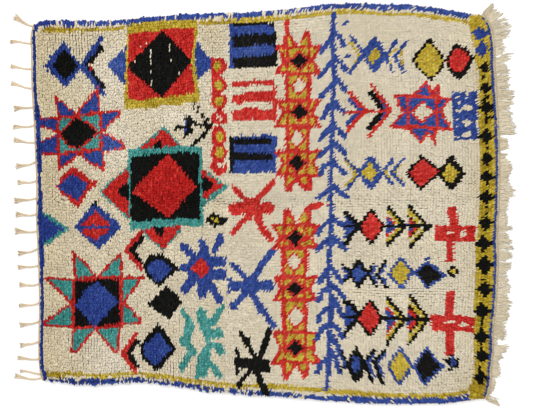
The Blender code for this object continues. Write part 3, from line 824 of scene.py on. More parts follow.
def paint_flowers(chart):
    """The blue flower with a red heart, and the teal one with a cream heart under it."""
    chart.blob(BLUE, (804, 1072), (58, 60))
    chart.strokes(
        BLUE, (32, (736, 986), (790, 1044)), (26, (806, 968), (812, 1000)), (40, (816, 1000), (822, 1034)),
        (30, (882, 952), (880, 968)), (23, (878, 966), (856, 1008)), (40, (846, 1048), (888, 1048)),
        (40, (846, 1100), (888, 1100)), (30, (832, 1124), (878, 1198)), (42, (818, 1120), (806, 1172)),
        (36, (782, 1104), (738, 1157)), (38, (780, 1072), (734, 1072)),
    )
    chart.patch(RED, (806, 1026), (762, 1074), (804, 1114), (842, 1078))
    chart.stroke(CREAM, 6, (852, 1075), (896, 1075))
    chart.strokes(
        TEAL, (22, (730, 1246), (770, 1304)), (38, (804, 1250), (820, 1330)),
        (24, (888, 1230), (848, 1292)), (40, (866, 1334), (876, 1334)), (28, (826, 1340), (880, 1338)),
        (34, (878, 1390), (882, 1402)), (28, (830, 1378), (872, 1386)), (26, (836, 1448), (878, 1504)),
        (42, (812, 1420), (804, 1488)), (14, (796, 1486), (788, 1510)),
        (26, (764, 1404), (744, 1440), (728, 1470)), (40, (734, 1364), (764, 1360)),
        (38, (758, 1300), (752, 1350), (770, 1404)), (36, (824, 1290), (828, 1400), (816, 1480)),
    )
    heart = (
        (794, 1318), (768, 1334), (762, 1356), (776, 1390), (798, 1414), (818, 1384), (826, 1366),
        (814, 1334),
    )
    chart.patch(CREAM, *heart)


def paint_star(chart, star):
    """A red and mustard star of six cells a side: two bars, two spines and a waist about a black core."""
    middle = star.centre[1]
    waist_left, waist_right = star.left + STAR_WAIST, star.right - STAR_WAIST
    body = (
        (star.left, star.top), (waist_left, middle), (star.left, star.bottom),
        (star.right, star.bottom), (waist_right, middle), (star.right, star.top),
    )
    chart.fill(body, (RED, -3), (MUSTARD, 11))
    for spine in (star.left_spine, star.right_spine):
        chart.stroke(RED, STAR_BAR, (spine, star.top), (spine, star.bottom))
    chart.stroke(RED, STAR_BAR, (waist_left, middle), star.centre, (waist_right, middle))
    chart.blob(RED, star.centre, STAR_HEART, 1.0)
    chart.blob(BLACK, star.centre, STAR_CORE, STAR_CORE_POWER)


def paint_star_column(chart):
    """Two groups of three stars, linked by cells with cream windows, with horns above and legs below."""
    for upper, lower, window in STAR_LINKS:
        corners = (
            (upper.left_spine, upper.bottom), (upper.right_spine, upper.bottom),
            (lower.right_spine, lower.top), (lower.left_spine, lower.top),
        )
        chart.fill(corners, (RED, -10), (MUSTARD, 8))
        chart.blob(RED, window.centre, np.add(window.reach, STAR_LINK_RIM), 1.0)
        chart.blob(CREAM, window.centre, window.reach, 1.0)
    chart.stroke(RED, 18, (1148, 84), (1150, 184))
    for horn in STAR_HORNS:
        chart.patch(RED, *horn)
    for cell in HORN_CELLS:
        chart.patch(MUSTARD, *cell)
    for star in STARS:
        paint_star(chart, star)
    chart.patch(RED, (1236, 814), (1280, 812), (1280, 838), (1240, 840))
    chart.stroke(RED, 9, (1276, 820), (1310, 816))


def paint_tree(chart):
    """The blue stem with drooping arms between the stars and the right-hand rows."""
    for arm in TREE_LEFT_ARMS + TREE_RIGHT_ARMS:
        chart.stroke(BLUE, TREE_ARM_WIDTH, *arm)
    chart.stroke(BLUE, TREE_TRUNK_WIDTH, *TREE_TRUNK)
    chart.blob(BLUE, (1322, 968), (24, 20))


def paint_right_row_1(chart):
    """Two chevrons, a blue and a black lozenge with mustard hearts, and a red one."""
    chart.strokes(BLUE, (12, (1380, 98), (1390, 84)), (12, (1384, 228), (1402, 218)))
    chart.stroke(MUSTARD, 12, (1400, 168), (1436, 216), (1434, 238), (1402, 278))
    chart.blob(BLUE, (1499, 218), (50, 74), 1.2)
    chart.patch(MUSTARD, (1502, 188), (1468, 226), (1494, 256), (1524, 216))
    chart.stroke(BLUE, 14, (1404, 148), (1458, 212), (1400, 292))
    chart.stroke(MUSTARD, 8, (1576, 200), (1552, 228), (1564, 262))
    chart.stroke(BLUE, 12, (1588, 160), (1544, 228), (1572, 286))
    chart.stroke(MUSTARD, 8, (1612, 200), (1598, 226), (1608, 256))
    chart.stroke(BLUE, 12, (1628, 164), (1580, 226), (1616, 286))
    chart.fill(
        ((1718, 148), (1648, 238), (1680, 286), (1724, 324), (1764, 286), (1784, 240)),
        (BLACK, 0), (MUSTARD, 9),
    )
    chart.patch(
        BLACK, (1826, 170), (1802, 200), (1782, 244), (1800, 286), (1836, 320), (1872, 286), (1902, 230),
        (1866, 194),
    )
    chart.patch(
        RED, (1824, 190), (1792, 246), (1812, 278), (1838, 292), (1864, 266), (1880, 230), (1858, 204),
    )


def paint_right_row_2(chart):
    """Three chevrons on a bar, and the block with cream cells at the end."""
    chart.stroke(BLUE, 20, (1400, 400), (1446, 440), (1392, 492))
    chart.stroke(RED, 17, (1400, 372), (1462, 440), (1394, 520))
    chart.stroke(BLACK, 23, (1484, 370), (1534, 440), (1480, 508))
    chart.stroke(BLUE, 13, (1520, 388), (1548, 442), (1520, 492))
    chart.strokes(RED, (15, (1486, 340), (1562, 442), (1478, 544)), (11, (1384, 450), (1562, 442)))
    block = (
        (1810, 368), (1864, 366), (1866, 390), (1872, 390), (1874, 366), (1908, 366), (1912, 556),
        (1814, 562),
    )
    chart.patch(BLUE, *block)
    for x, y, reach_x, reach_y in (
        (1868, 430, 22, 16), (1868, 490, 22, 14), (1866, 538, 16, 12), (1832, 386, 9, 6),
        (1832, 444, 12, 6), (1830, 478, 6, 6), (1828, 504, 6, 6), (1828, 548, 8, 6),
        (1838, 412, 12, 5), (1878, 524, 7, 5),
    ):
        chart.blob(CREAM, (x, y), (reach_x, reach_y), 1.2)


def paint_right_row_3(chart):
    """Two chevrons and a blue lozenge with a mustard heart, then a red and a mustard one edged in black."""
    chart.stroke(MUSTARD, 11, (1382, 648), (1422, 686), (1420, 708), (1380, 744))
    chart.blob(BLUE, (1484, 692), (50, 70), 1.2)
    chart.patch(MUSTARD, (1480, 646), (1444, 692), (1484, 730), (1512, 690))
    chart.stroke(BLUE, 13, (1386, 636), (1440, 694), (1386, 760))
    chart.stroke(MUSTARD, 8, (1556, 660), (1546, 690), (1560, 712))
    chart.stroke(BLUE, 12, (1572, 636), (1532, 690), (1572, 738))
    chart.stroke(MUSTARD, 8, (1600, 656), (1580, 688), (1600, 712))
    chart.stroke(BLUE, 12, (1612, 636), (1568, 692), (1616, 738))
    chart.fill(
        ((1688, 620), (1622, 692), (1684, 764), (1728, 726), (1772, 690), (1728, 650)),
        (BLACK, 0), (RED, 10),
    )
    chart.blob(BLACK, (1806, 692), (56, 71), 1.15)
    chart.patch(MUSTARD, (1798, 654), (1768, 696), (1808, 736), (1836, 688))


def paint_right_row_4(chart):
    """An arrow of three heads through a red lozenge, and a cross."""
    chart.patch(BLUE, (1378, 860), (1428, 906), (1378, 958))
    chart.stroke(BLACK, 20, (1386, 850), (1406, 872), (1440, 906), (1408, 936), (1384, 972))
    chart.blob(BLACK, (1486, 908), (52, 70), 1.2)
    chart.blob(RED, (1486, 908), (41, 56), 1.2)
    chart.arrow((1632, 906), (1550, 816), (1546, 994), *SMALL_HEAD)
    chart.arrow((1724, 906), (1634, 814), (1634, 1004), *LARGE_HEAD)
    chart.strokes(BLACK, (12, (1378, 906), (1438, 906)), (13, (1532, 904), (1722, 904)))
    cross = (
        (1794, 832), (1826, 820), (1832, 904), (1910, 904), (1902, 960), (1880, 968), (1816, 964),
        (1818, 1046), (1784, 1046), (1790, 964), (1738, 960), (1740, 900), (1800, 904),
    )
    chart.patch(RED, *cross)
    chart.stroke(CREAM, 10, (1794, 932), (1812, 930))
    chart.patch(CREAM, (1840, 938), (1856, 918), (1870, 934), (1852, 950))


def paint_right_row_5(chart):
    """Crossed strokes about a black lozenge with a blue heart, then three lozenges."""
    chart.stroke(BLUE, 11, (1366, 1072), (1394, 1090), (1378, 1112))
    chart.stroke(BLACK, 12, (1368, 1056), (1406, 1092), (1376, 1128))
    chart.blob(BLACK, (1434, 1095), (42, 59), 1.15)
    chart.blob(BLUE, (1434, 1096), (29, 34), 1.1)
    chart.stroke(BLUE, 10, (1504, 1068), (1482, 1096), (1512, 1132))
    chart.stroke(BLACK, 12, (1496, 1056), (1472, 1094), (1508, 1148))
    chart.stroke(BLUE, 10, (1546, 1062), (1518, 1098), (1546, 1132))
    chart.stroke(BLACK, 12, (1546, 1044), (1508, 1096), (1546, 1148))
    chart.fill(((1602, 1024), (1550, 1096), (1604, 1160), (1658, 1088)), (BLUE, 0), (MUSTARD, 11))
    chart.fill(((1708, 1044), (1652, 1090), (1708, 1158), (1788, 1100)), (BLUE, 0), (BLACK, 10))
    chart.stroke(BLUE, 13, (1700, 1036), (1716, 1032))
    chart.patch(BLACK, (1812, 1058), (1786, 1089), (1812, 1118), (1840, 1084))
    chart.patch(MUSTARD, (1812, 1070), (1800, 1088), (1814, 1100), (1826, 1086))


def paint_right_row_6(chart):
    """The same arrow and cross as in row 4, woven a little larger."""
    chart.patch(BLUE, (1382, 1216), (1392, 1214), (1432, 1268), (1386, 1320), (1380, 1300))
    chart.strokes(
        BLACK, (16, (1380, 1212), (1402, 1212), (1440, 1268), (1402, 1306), (1378, 1342)),
        (13, (1380, 1270), (1440, 1266)),
    )
    chart.blob(BLACK, (1480, 1272), (50, 75), 1.25)
    chart.blob(RED, (1480, 1272), (39, 61), 1.25)
    chart.arrow((1632, 1276), (1547, 1180), (1544, 1391), *SMALL_HEAD)
    chart.arrow((1724, 1278), (1637, 1168), (1632, 1391), *LARGE_HEAD)
    chart.stroke(BLACK, 14, (1524, 1272), (1708, 1278))
    cross = (
        (1786, 1168), (1820, 1160), (1820, 1262), (1900, 1268), (1894, 1332), (1816, 1322),
        (1816, 1430), (1782, 1426), (1782, 1324), (1726, 1324), (1724, 1256), (1782, 1264),
    )
    chart.patch(RED, *cross)
    chart.stroke(CREAM, 10, (1788, 1292), (1818, 1290))
    chart.patch(CREAM, (1834, 1300), (1852, 1280), (1876, 1302), (1850, 1314))


def paint_right_row_7(chart):
    """Slanting strokes about a black lozenge, then three lozenges."""
    chart.strokes(BLACK, (11, (1364, 1404), (1388, 1450)), (12, (1366, 1482), (1388, 1462)))
    chart.blob(BLACK, (1425, 1462), (42, 72), 1.15)
    chart.blob(BLUE, (1424, 1460), (19, 34), 1.2)
    chart.strokes(BLUE, (7, (1412, 1428), (1436, 1434)), (12, (1496, 1420), (1474, 1450), (1496, 1506)))
    chart.stroke(BLACK, 14, (1502, 1398), (1458, 1448), (1490, 1528))
    chart.stroke(BLUE, 12, (1540, 1420), (1512, 1450), (1534, 1506))
    chart.stroke(BLACK, 14, (1542, 1402), (1496, 1446), (1531, 1534))
    chart.fill(((1602, 1382), (1546, 1464), (1596, 1546), (1656, 1468)), (BLUE, 0), (MUSTARD, 11))
    chart.fill(((1708, 1386), (1650, 1464), (1696, 1548), (1776, 1468)), (BLUE, 0), (BLACK, 10))
    chart.patch(BLACK, (1808, 1416), (1790, 1450), (1806, 1486), (1834, 1450))
    chart.patch(BLUE, (1812, 1424), (1800, 1450), (1810, 1472), (1826, 1452))
    chart.strokes(
        BLACK, (10, (1782, 1442), (1796, 1450)), (10, (1832, 1436), (1826, 1468)),
        (10, (1798, 1478), (1812, 1482)),
    )


def paint_borders(chart, from_top, from_bottom, from_left, from_right):
    """The lines along the edges and the figured band at the right."""
    x, y = chart.x, chart.y
    in_rows = (y >= RIGHT_BAND_INNER[0][0]) & (y <= RIGHT_BAND_INNER[-1][0])
    chart.paint((x >= along(y, RIGHT_BAND_INNER)) & in_rows, MUSTARD)
    for dye, middle, reach in BAND_FIGURES:
        chart.blob(dye, middle, np.multiply(reach, BAND_FIGURE_STRETCH), BAND_FIGURE_POWER)
    for middle in BAND_DOTS:
        chart.blob(BLACK, middle, BAND_DOT_REACH)
    chart.stroke(BLACK, 8, (1936, 398), (1960, 380))
    chart.stroke(BLACK, 9, (1974, 468), (1944, 472), (1942, 500))
    chart.patch(MUSTARD, (1872, 60), (1930, 60), (1930, 108), (1880, 108))
    chart.patch(MUSTARD, (1880, 1540), (1926, 1540), (1926, 1600), (1880, 1600))
    chart.paint((from_right < SIDE_BLUE) & (y > RIGHT_BLUE_FROM), BLUE)
    chart.paint(from_left < along(y, LEFT_BLUE), BLUE)
    paint_mixed_line(chart, from_top, TOP_BLUE_RUN, TOP_BLUE_DEPTH, TOP_CREAM)
    paint_mixed_line(chart, from_bottom, BOTTOM_BLUE_RUN, BOTTOM_BLUE_DEPTH, BOTTOM_CREAM)
    for run in TOP_MUSTARD_RUNS:
        paint_thin_line(chart, from_top, run, TOP_MUSTARD_LINE, MUSTARD_HALF)
    paint_thin_line(
        chart, from_bottom, BOTTOM_MUSTARD_RUN, BOTTOM_MUSTARD_LINE, along(x, BOTTOM_MUSTARD_HALF)
    )


def paint_mixed_line(chart, from_edge, run, depth, mixed):
    """A blue line along an edge that ends unevenly, with cream knots among its own."""
    x = chart.x
    share = np.full(x.shape, MIXED_ELSEWHERE)
    for start, end, part in mixed:
        share[(x > start) & (x < end)] = part
    ragged = RAGGED * chart.other_luck(RAGGED_LUCK)
    blue = (from_edge + ragged < along(x, depth)) & (x > run[0]) & (x < run[1])
    edge_dyes = (chart.dye == CREAM) | (chart.dye == MUSTARD)
    chart.paint(blue & edge_dyes & (chart.luck > share), BLUE)


def paint_thin_line(chart, from_edge, run, depth, half):
    """A mustard line at a depth that varies along it, half as wide as half says."""
    x = chart.x
    uneven = MUSTARD_UNEVEN * chart.other_luck(MUSTARD_LUCK)
    line = np.abs(from_edge - along(x, depth)) < half + uneven
    chart.paint(line & (x > run[0]) & (x < run[1]) & (chart.dye == CREAM), MUSTARD)


MOTIFS = (
    paint_left_lozenges, paint_middle_lozenges, paint_upper_medallion, paint_lower_medallion,
    paint_pointed_stars, paint_black_figure, paint_chain, paint_blocks, paint_asterisks, paint_flowers,
    paint_star_column, paint_tree, paint_right_row_1, paint_right_row_2, paint_right_row_3,
    paint_right_row_4, paint_right_row_5, paint_right_row_6, paint_right_row_7,
)


def paint_chart(chart, depths):
    """Every motif, from the left of the rug to the right, and then its borders."""
    for paint_motif in MOTIFS:
        paint_motif(chart)
    paint_borders(chart, *depths)


def along(x, table):
    """What a table of places and values says at x."""
    return np.interp(x, *zip(*table))


def curve_through(places, fraction):
    """Points on a smooth curve through the places, at fractions 0 to 1 of its run along its longer side."""
    places = np.array(places, float)
    longer = int(np.ptp(places[:, 1]) > np.ptp(places[:, 0]))
    run = places[:, longer]
    slope = np.gradient(places, run, axis=0)
    where = run[0] + (run[-1] - run[0]) * np.asarray(fraction, float)
    way = 1 if run[-1] > run[0] else -1
    piece = np.clip(np.searchsorted(way * run, way * where, side="right") - 1, 0, len(run) - 2)
    step = (run[piece + 1] - run[piece])[..., None]
    s = (where - run[piece])[..., None] / step
    start = (2 * s**3 - 3 * s**2 + 1) * places[piece] + (s**3 - 2 * s**2 + s) * step * slope[piece]
    end = (3 * s**2 - 2 * s**3) * places[piece + 1] + (s**3 - s**2) * step * slope[piece + 1]
    return start + end


def field_point(u, v):
    """Places inside the outline, at fraction u from left to right and v from bottom to top."""
    u, v = np.asarray(u, float), np.asarray(v, float)
    top, bottom = curve_through(TOP_EDGE, u), curve_through(BOTTOM_EDGE, u)
    left, right = curve_through(LEFT_EDGE, v), curve_through(RIGHT_EDGE, v)
    u, v = u[..., None], v[..., None]
    corners = (
        (1 - u) * (1 - v) * np.array(BOTTOM_EDGE[0], float)
        + u * (1 - v) * np.array(BOTTOM_EDGE[-1], float)
        + (1 - u) * v * np.array(TOP_EDGE[0], float)
        + u * v * np.array(TOP_EDGE[-1], float)
    )
    return (1 - v) * bottom + v * top + (1 - u) * left + u * right - corners


def edge_at(edge, y):
    """The x of a side of the field at height y on the plan."""
    fraction = (y - edge[0].y) / (edge[-1].y - edge[0].y)
    return float(curve_through(edge, fraction)[0])


def crease_depth(x, y):
    """How far the creases draw the pile down at a place on the plan."""
    depth = np.zeros_like(x)
    for crease in CREASES:
        run = np.array(crease.end, float) - crease.start
        length = np.hypot(*run)
        forward = ((x - crease.start.x) * run[0] + (y - crease.start.y) * run[1]) / length
        aside = ((y - crease.start.y) * run[0] - (x - crease.start.x) * run[1]) / length
        past_end = np.maximum(np.maximum(-forward, forward - length), 0.0)
        depth += crease.depth * np.exp(-(aside**2 + past_end**2) / crease.width**2)
    return depth


def edge_depths(places):
    """How far each place on the plan lies from the top, bottom, left and right edge of the pile."""
    steps = np.linspace(0.0, 1.0, EDGE_STEPS)
    top, bottom, left, right = (
        curve_through(edge, steps) for edge in (TOP_EDGE, BOTTOM_EDGE, LEFT_EDGE, RIGHT_EDGE)
    )
    x, y = places[..., 0], places[..., 1]
    return (
        np.interp(x, top[:, 0], top[:, 1]) - y,
        y - np.interp(x, bottom[:, 0], bottom[:, 1]),
        x - np.interp(y, left[:, 1], left[:, 0]),
        np.interp(y, right[:, 1], right[:, 0]) - x,
    )


def on_chart(places):
    """Places on the plan, as millimetres right and down on the chart."""
    return np.stack([places[..., 0] - CHART_CORNER[0], CHART_CORNER[1] - places[..., 1]], axis=-1)


def ripple(x, y, wavelength, seed):
    """Smooth noise of about -1 to 1: sine waves of about one length in seeded directions."""
    random = np.random.default_rng(seed)
    total = np.zeros_like(x)
    for _ in range(RIPPLE_WAVES):
        angle, phase = random.uniform(0.0, 2 * math.pi, 2)
        length = wavelength * random.uniform(*RIPPLE_LENGTHS)
        total += np.sin((x * math.cos(angle) + y * math.sin(angle)) * 2 * math.pi / length + phase)
    return total / math.sqrt(2 * RIPPLE_WAVES)


def ripples(x, y, layers):
    """Ripples together, each a strength, a wavelength and a seed."""
    return sum(strength * ripple(x, y, wavelength, seed) for strength, wavelength, seed in layers)


def humps(x, y, spots):
    """Smooth humps, each of its strength at its middle and of about 0 past its reach."""
    total = 0.0
    for middle, reach, strength in spots:
        across, down = (x - middle[0]) / reach[0], (y - middle[1]) / reach[1]
        total = total + strength * np.exp(-(across**2) - down**2)
    return total


def lay_angle(x, y):
    """The way the pile leans at places on the chart, in radians."""
    rows = np.array(list(LAY_ROWS), float)
    angles = np.radians(list(LAY_ROWS.values()))
    piece = np.clip(np.searchsorted(rows, y) - 1, 0, len(rows) - 2)
    s = np.clip((y - rows[piece]) / (rows[piece + 1] - rows[piece]), 0.0, 1.0)
    knot = np.arange(len(x))
    parts = []
    for part in (np.cos(angles), np.sin(angles)):
        across = np.array([np.interp(x, LAY_COLUMNS, row) for row in part])
        parts.append((1 - s) * across[piece, knot] + s * across[piece + 1, knot])
    return np.arctan2(parts[1], parts[0])


def facing(angle):
    """The direction on the plan at an angle."""
    return np.stack([np.cos(angle), np.sin(angle)], axis=-1)


def to_left(ahead):
    """The direction on the plan to the left of another."""
    return ahead[..., ::-1] * (-1.0, 1.0)


def new_object(name, points, face_groups, material, marks=None, maps=None):
    """An object from arrays: points in millimetres on the plan, faces in groups of one size, marks with a
    value for every point, and maps with a place for every corner of the faces."""
    mesh = bpy.data.meshes.new(name)
    corners = np.concatenate([group.ravel() for group in face_groups])
    counts = np.concatenate([np.full(len(group), group.shape[1]) for group in face_groups])
    mesh.vertices.add(len(points))
    places = (points - np.array([*PLAN_MIDDLE, 0.0])) * MM
    mesh.vertices.foreach_set("co", places.astype(np.float32).ravel())
    mesh.loops.add(len(corners))
    mesh.loops.foreach_set("vertex_index", corners.astype(np.int32))
    mesh.polygons.add(len(counts))
    mesh.polygons.foreach_set("loop_start", (np.cumsum(counts) - counts).astype(np.int32))
    mesh.update(calc_edges=True)
    for mark, values in (marks or {}).items():
        mesh.attributes.new(mark, "FLOAT", "POINT").data.foreach_set("value", values.astype(np.float32))
    for uv_name, values in (maps or {}).items():
        mesh.uv_layers.new(name=uv_name).uv.foreach_set("vector", values.astype(np.float32).ravel())
    mesh.shade_smooth()
    mesh.materials.append(material)
    made = bpy.data.objects.new(name, mesh)
    bpy.context.scene.collection.objects.link(made)
    return made


def strand_rings(paths, widths, depths, sides):
    """Points round each path, ring by ring, with its tip after them. paths is strand, place, xyz."""
    heading = np.gradient(paths, axis=1)[:, :-1]
    whole = (paths[:, -1] - paths[:, 0])[:, None]
    flat = heading[..., :2] + STEEP_HELP * whole[..., :2]
    across = np.stack([-flat[..., 1], flat[..., 0], np.zeros(flat.shape[:2])], axis=-1)
    across /= np.maximum(np.linalg.norm(across, axis=-1, keepdims=True), TINY)
    heading = heading / np.maximum(np.linalg.norm(heading, axis=-1, keepdims=True), TINY)
    up = np.cross(heading, across)
    turn = np.arange(sides) * 2 * math.pi / sides + math.pi / 2
    aside = across[:, :, None] * (np.cos(turn) * widths[:, :, None] / 2)[..., None]
    above = up[:, :, None] * (np.sin(turn) * depths[:, :, None] / 2)[..., None]
    rings = paths[:, :-1, None] + aside + above
    return np.concatenate([rings.reshape(len(paths), -1, 3), paths[:, -1:]], axis=1)


def strand_faces(count, rings, sides):
    """Faces of strands: four-sided ones between rings, three-sided ones to the tips, and root caps."""
    base = (np.arange(count) * (rings * sides + 1))[:, None]
    side = np.arange(sides)
    after = (side + 1) % sides
    walls = []
    for low in range(0, (rings - 1) * sides, sides):
        high = low + sides
        walls.append(np.stack([low + side, low + after, high + after, high + side], axis=-1))
    last = (rings - 1) * sides
    tips = np.stack([last + side, last + after, np.full(sides, rings * sides)], axis=-1)
    return (
        (base[:, :, None] + np.concatenate(walls)).reshape(-1, 4),
        (base[:, :, None] + tips).reshape(-1, 3),
        base + side[::-1],
    )


def strand_map(count, rings, sides):
    """A cell of the bake map for every strand, in the order of its faces."""
    across = math.ceil(math.sqrt(count))
    cells = np.stack([np.arange(count) % across, np.arange(count) // across], axis=-1)[:, None]
    left = MAP_LEFT + MAP_WIDE * np.arange(sides) / sides
    right = left + MAP_FACE / sides
    heights = np.linspace(*MAP_HEIGHTS, rings + 1)[:, None] * np.ones(sides)
    walls = [
        np.stack([left, low, right, low, right, high, left, high], axis=-1)
        for low, high in zip(heights[:-2], heights[1:-1])
    ]
    tips = np.stack([left, heights[-2], right, heights[-2], (left + right) / 2, heights[-1]], axis=-1)
    turn = np.arange(sides) * 2 * math.pi / sides
    cap = MAP_CAP_MIDDLE + MAP_CAP_RADIUS * facing(turn)
    parts = (np.concatenate(walls).reshape(-1, 2), tips.reshape(-1, 2), cap)
    return np.concatenate([((cells + part) / across).reshape(-1, 2) for part in parts])


def strands(name, paths, widths, depths, sides, tones, ages, material):
    """One object of many strands. widths and depths have a value for every place but the tip."""
    count, rings = len(paths), paths.shape[1] - 1
    points = strand_rings(paths, widths, depths, sides).reshape(-1, 3)
    each = rings * sides + 1
    marks = {"tone": np.repeat(tones, each), "age": np.repeat(ages, each)}
    maps = {"OFBake": strand_map(count, rings, sides)}
    return new_object(name, points, strand_faces(count, rings, sides), material, marks, maps)


def screen_colour(levels):
    """The colour of a screen's 0 to 255 levels, as a shader takes it: the usual curve of screens."""
    shares = [level / 255 for level in levels]
    return [share / 12.92 if share < 0.043 else ((share + 0.055) / 1.055) ** 2.4 for share in shares]


def add_node(tree, kind, inputs, **settings):
    """A shader node with its settings. Each input is a value or the output of another node."""
    node = tree.nodes.new(f"ShaderNode{kind}")
    for setting, value in settings.items():
        setattr(node, setting, value)
    for name, value in inputs.items():
        if isinstance(value, bpy.types.NodeSocket):
            tree.links.new(value, node.inputs[name])
        else:
            node.inputs[name].default_value = value
    return node


def mark_node(tree, mark):
    """A node that reads a mark of the mesh."""
    return add_node(tree, "Attribute", {}, attribute_name=mark)


def maths(tree, operation, *inputs):
    """The output of a sum on values or outputs."""
    return add_node(tree, "Math", dict(enumerate(inputs)), operation=operation).outputs["Value"]


def noise(tree, where, scale, detail):
    """The output of a noise over the object."""
    inputs = {"Scale": scale, "Detail": detail, "Vector": where.outputs["Object"]}
    return add_node(tree, "TexNoise", inputs).outputs["Fac"]


def new_wool(name, gloss):
    """A rough material and its node tree."""
    material = bpy.data.materials.new(name)
    material.use_nodes = True
    tree = material.node_tree
    tree.nodes["Principled BSDF"].inputs["Roughness"].default_value = WOOL_ROUGHNESS
    tree.nodes["Principled BSDF"].inputs["Specular IOR Level"].default_value = gloss
    return material, tree


def shade_wool(tree, colour, level):
    """Gives the shader a colour that a level makes lighter or darker."""
    mixed = add_node(
        tree, "Mix", {"Factor": 1.0, MIX_A: colour, MIX_B: level}, data_type="RGBA", blend_type="MULTIPLY"
    )
    tree.links.new(mixed.outputs[MIX_RESULT], tree.nodes["Principled BSDF"].inputs["Base Color"])


def roughen_wool(tree, height, strength, distance):
    """Gives the shader a bump."""
    relief = add_node(tree, "Bump", {"Strength": strength, "Distance": distance, "Height": height})
    tree.links.new(relief.outputs["Normal"], tree.nodes["Principled BSDF"].inputs["Normal"])


def wool(name, shades):
    """A wool whose strands differ: "age" picks the shade, "tone" makes it lighter or darker, and noise adds
    the streaks and the bump of its fibres."""
    material, tree = new_wool(name, WOOL_GLOSS)
    age = mark_node(tree, "age")
    ramp = add_node(tree, "ValToRGB", {"Fac": age.outputs["Fac"]})
    stops = ramp.color_ramp.elements
    stops[0].color = (*screen_colour(shades.deep), 1.0)
    stops[1].color = (*screen_colour(shades.pale), 1.0)
    stops.new(0.5).color = (*screen_colour(shades.usual), 1.0)

    where = add_node(tree, "TexCoord", {})
    streaks = {
        "From Min": STREAK_NOISE[0], "From Max": STREAK_NOISE[1],
        "To Min": STREAK_LEVELS[0], "To Max": STREAK_LEVELS[1],
        "Value": noise(tree, where, *STREAKS),
    }
    streak_level = add_node(tree, "MapRange", streaks)
    tone = mark_node(tree, "tone")
    level = maths(tree, "MULTIPLY", tone.outputs["Fac"], streak_level.outputs["Result"])
    shade_wool(tree, ramp.outputs["Color"], level)
    roughen_wool(tree, noise(tree, where, *FIBRES), *WOOL_BUMP)
    return material


def ground_wool():
    """The ground weave: each knot's colour where it wraps the warps, in rows of bars across them, with
    painted shade between.
    """
    material, tree = new_wool("ground_weave", WEAVE_GLOSS)
    dye = mark_node(tree, "dye")
    cell = add_node(tree, "UVMap", {}, uv_map="weave")
    split = add_node(tree, "SeparateXYZ", {"Vector": cell.outputs["UV"]})
    bars = []
    for axis in "XY":
        wave = maths(tree, "SINE", maths(tree, "MULTIPLY", split.outputs[axis], 2.0 * math.pi))
        bars.append(maths(tree, "ABSOLUTE", wave))
    height = maths(tree, "MULTIPLY", *bars)
    # painted shade: darker between the bars, where shade falls, and lighter on them
    levels = {"To Min": WEAVE_PAINTED_SHADE[0], "To Max": WEAVE_PAINTED_SHADE[1], "Value": height}
    shade = add_node(tree, "MapRange", levels)
    shade_wool(tree, dye.outputs["Color"], shade.outputs["Result"])
    roughen_wool(tree, height, *WEAVE_BUMP)
    return material


def tuft_numbers():
    """The column and the row of every tuft."""
    return [index.ravel() for index in np.indices((COLUMNS, ROWS))]


def tuft_places(even, random):
    """Where the tufts show, uneven about an even grid, with the outermost ones leaning out or in."""
    column, row = tuft_numbers()
    places = even + random.normal(0.0, KNOT_JITTER, even.shape)
    swing = random.normal(0.0, RIM_UNEVEN, len(places))
    x = on_chart(places)[:, 0]
    places[:, 0] -= (column == 0) * (RIM_OUT_LEFT + swing)
    places[:, 1] += (row == ROWS - 1) * (along(x, RIM_OUT_TOP) + swing)
    places[:, 1] -= (row == 0) * (along(x, RIM_OUT_BOTTOM) + swing)
    return places


def tuft_tops(x, y, places, ribs, wales):
    """How high the tufts stand."""
    column, row = tuft_numbers()
    from_rim = np.min([column, COLUMNS - 1 - column, row, ROWS - 1 - row], axis=0)
    top = PILE_TOP + PILE_LUMP * ripples(x, y, TOP_RIPPLES) - crease_depth(*places.T)
    for step, drop in enumerate(RIM_DROPS):
        top -= drop * (from_rim == step)
    return top + (RIB_HEIGHT * ribs + WALE_HEIGHT * wales)


def tuft_shades(x, y, ribs, wales, random):
    """The tone and the age of each tuft; the tone holds painted shade along the ribs and wales."""
    tone = 1.0 + ripples(x, y, TONE_RIPPLES)
    # painted shade: lighter on ribs and wales that stand higher, darker between them, plus tone that differs
    # at random
    tone += RIB_PAINTED_SHADE * ribs + WALE_PAINTED_SHADE * wales + random.normal(0.0, TONE_UNEVEN, len(x))
    tan = TAN_AT_EDGE * np.exp(-np.clip(x - TAN_FROM, 0, None) / TAN_LENGTH)
    tan += TAN_AT_LEFT * (x < TAN_LEFT_END)
    return tone, USUAL_AGE - tan + ripples(x, y, AGE_RIPPLES) + humps(x, y, WORN_PATCHES)


def make_tufts(random):
    """Every tuft, and the dye of every knot."""
    steps = ((np.arange(count) + 0.5) / count for count in (COLUMNS, ROWS))
    grid = field_point(*np.meshgrid(*steps, indexing="ij"))
    depths_in = edge_depths(grid)
    chart = Chart(on_chart(grid), random)
    paint_chart(chart, depths_in)
    even = grid.reshape(-1, 2)
    places = tuft_places(even, random)
    x, y = on_chart(places).T

    at_left = 1.0 / (1.0 + np.exp((x - LEFT_PART[0]) / LEFT_PART[1]))
    uneven = ripples(x, y, LAY_RIPPLES) + random.normal(0.0, LAY_UNEVEN, len(x))
    lay = lay_angle(x, y) + LAY_SPREAD * uneven
    parted = np.clip(humps(x, y, PARTINGS) + ripples(x, y, PARTED_RIPPLES), 0.0, 1.0)
    opened = np.clip(humps(x, y, ROW_PARTINGS) * (1.0 + ripples(x, y, OPENED_RIPPLES)), 0.0, 1.0)

    ribs = ripple(RIB_ACROSS * x, RIB_ALONG * y, RIB_LENGTH, RIB_SEED) * at_left
    wales = ripple(RIB_ALONG * x, RIB_ACROSS * y, RIB_LENGTH, WALE_SEED) * (1.0 - at_left)
    top = tuft_tops(x, y, places, ribs, wales)
    held = np.clip(np.min(depths_in, axis=0).ravel() / HELD_IN, HELD_LEAST, 1.0)
    tone, age = tuft_shades(x, y, ribs, wales, random)
    return Tufts(even, places, at_left, lay, parted, opened, top, held, tone, age), chart.dye


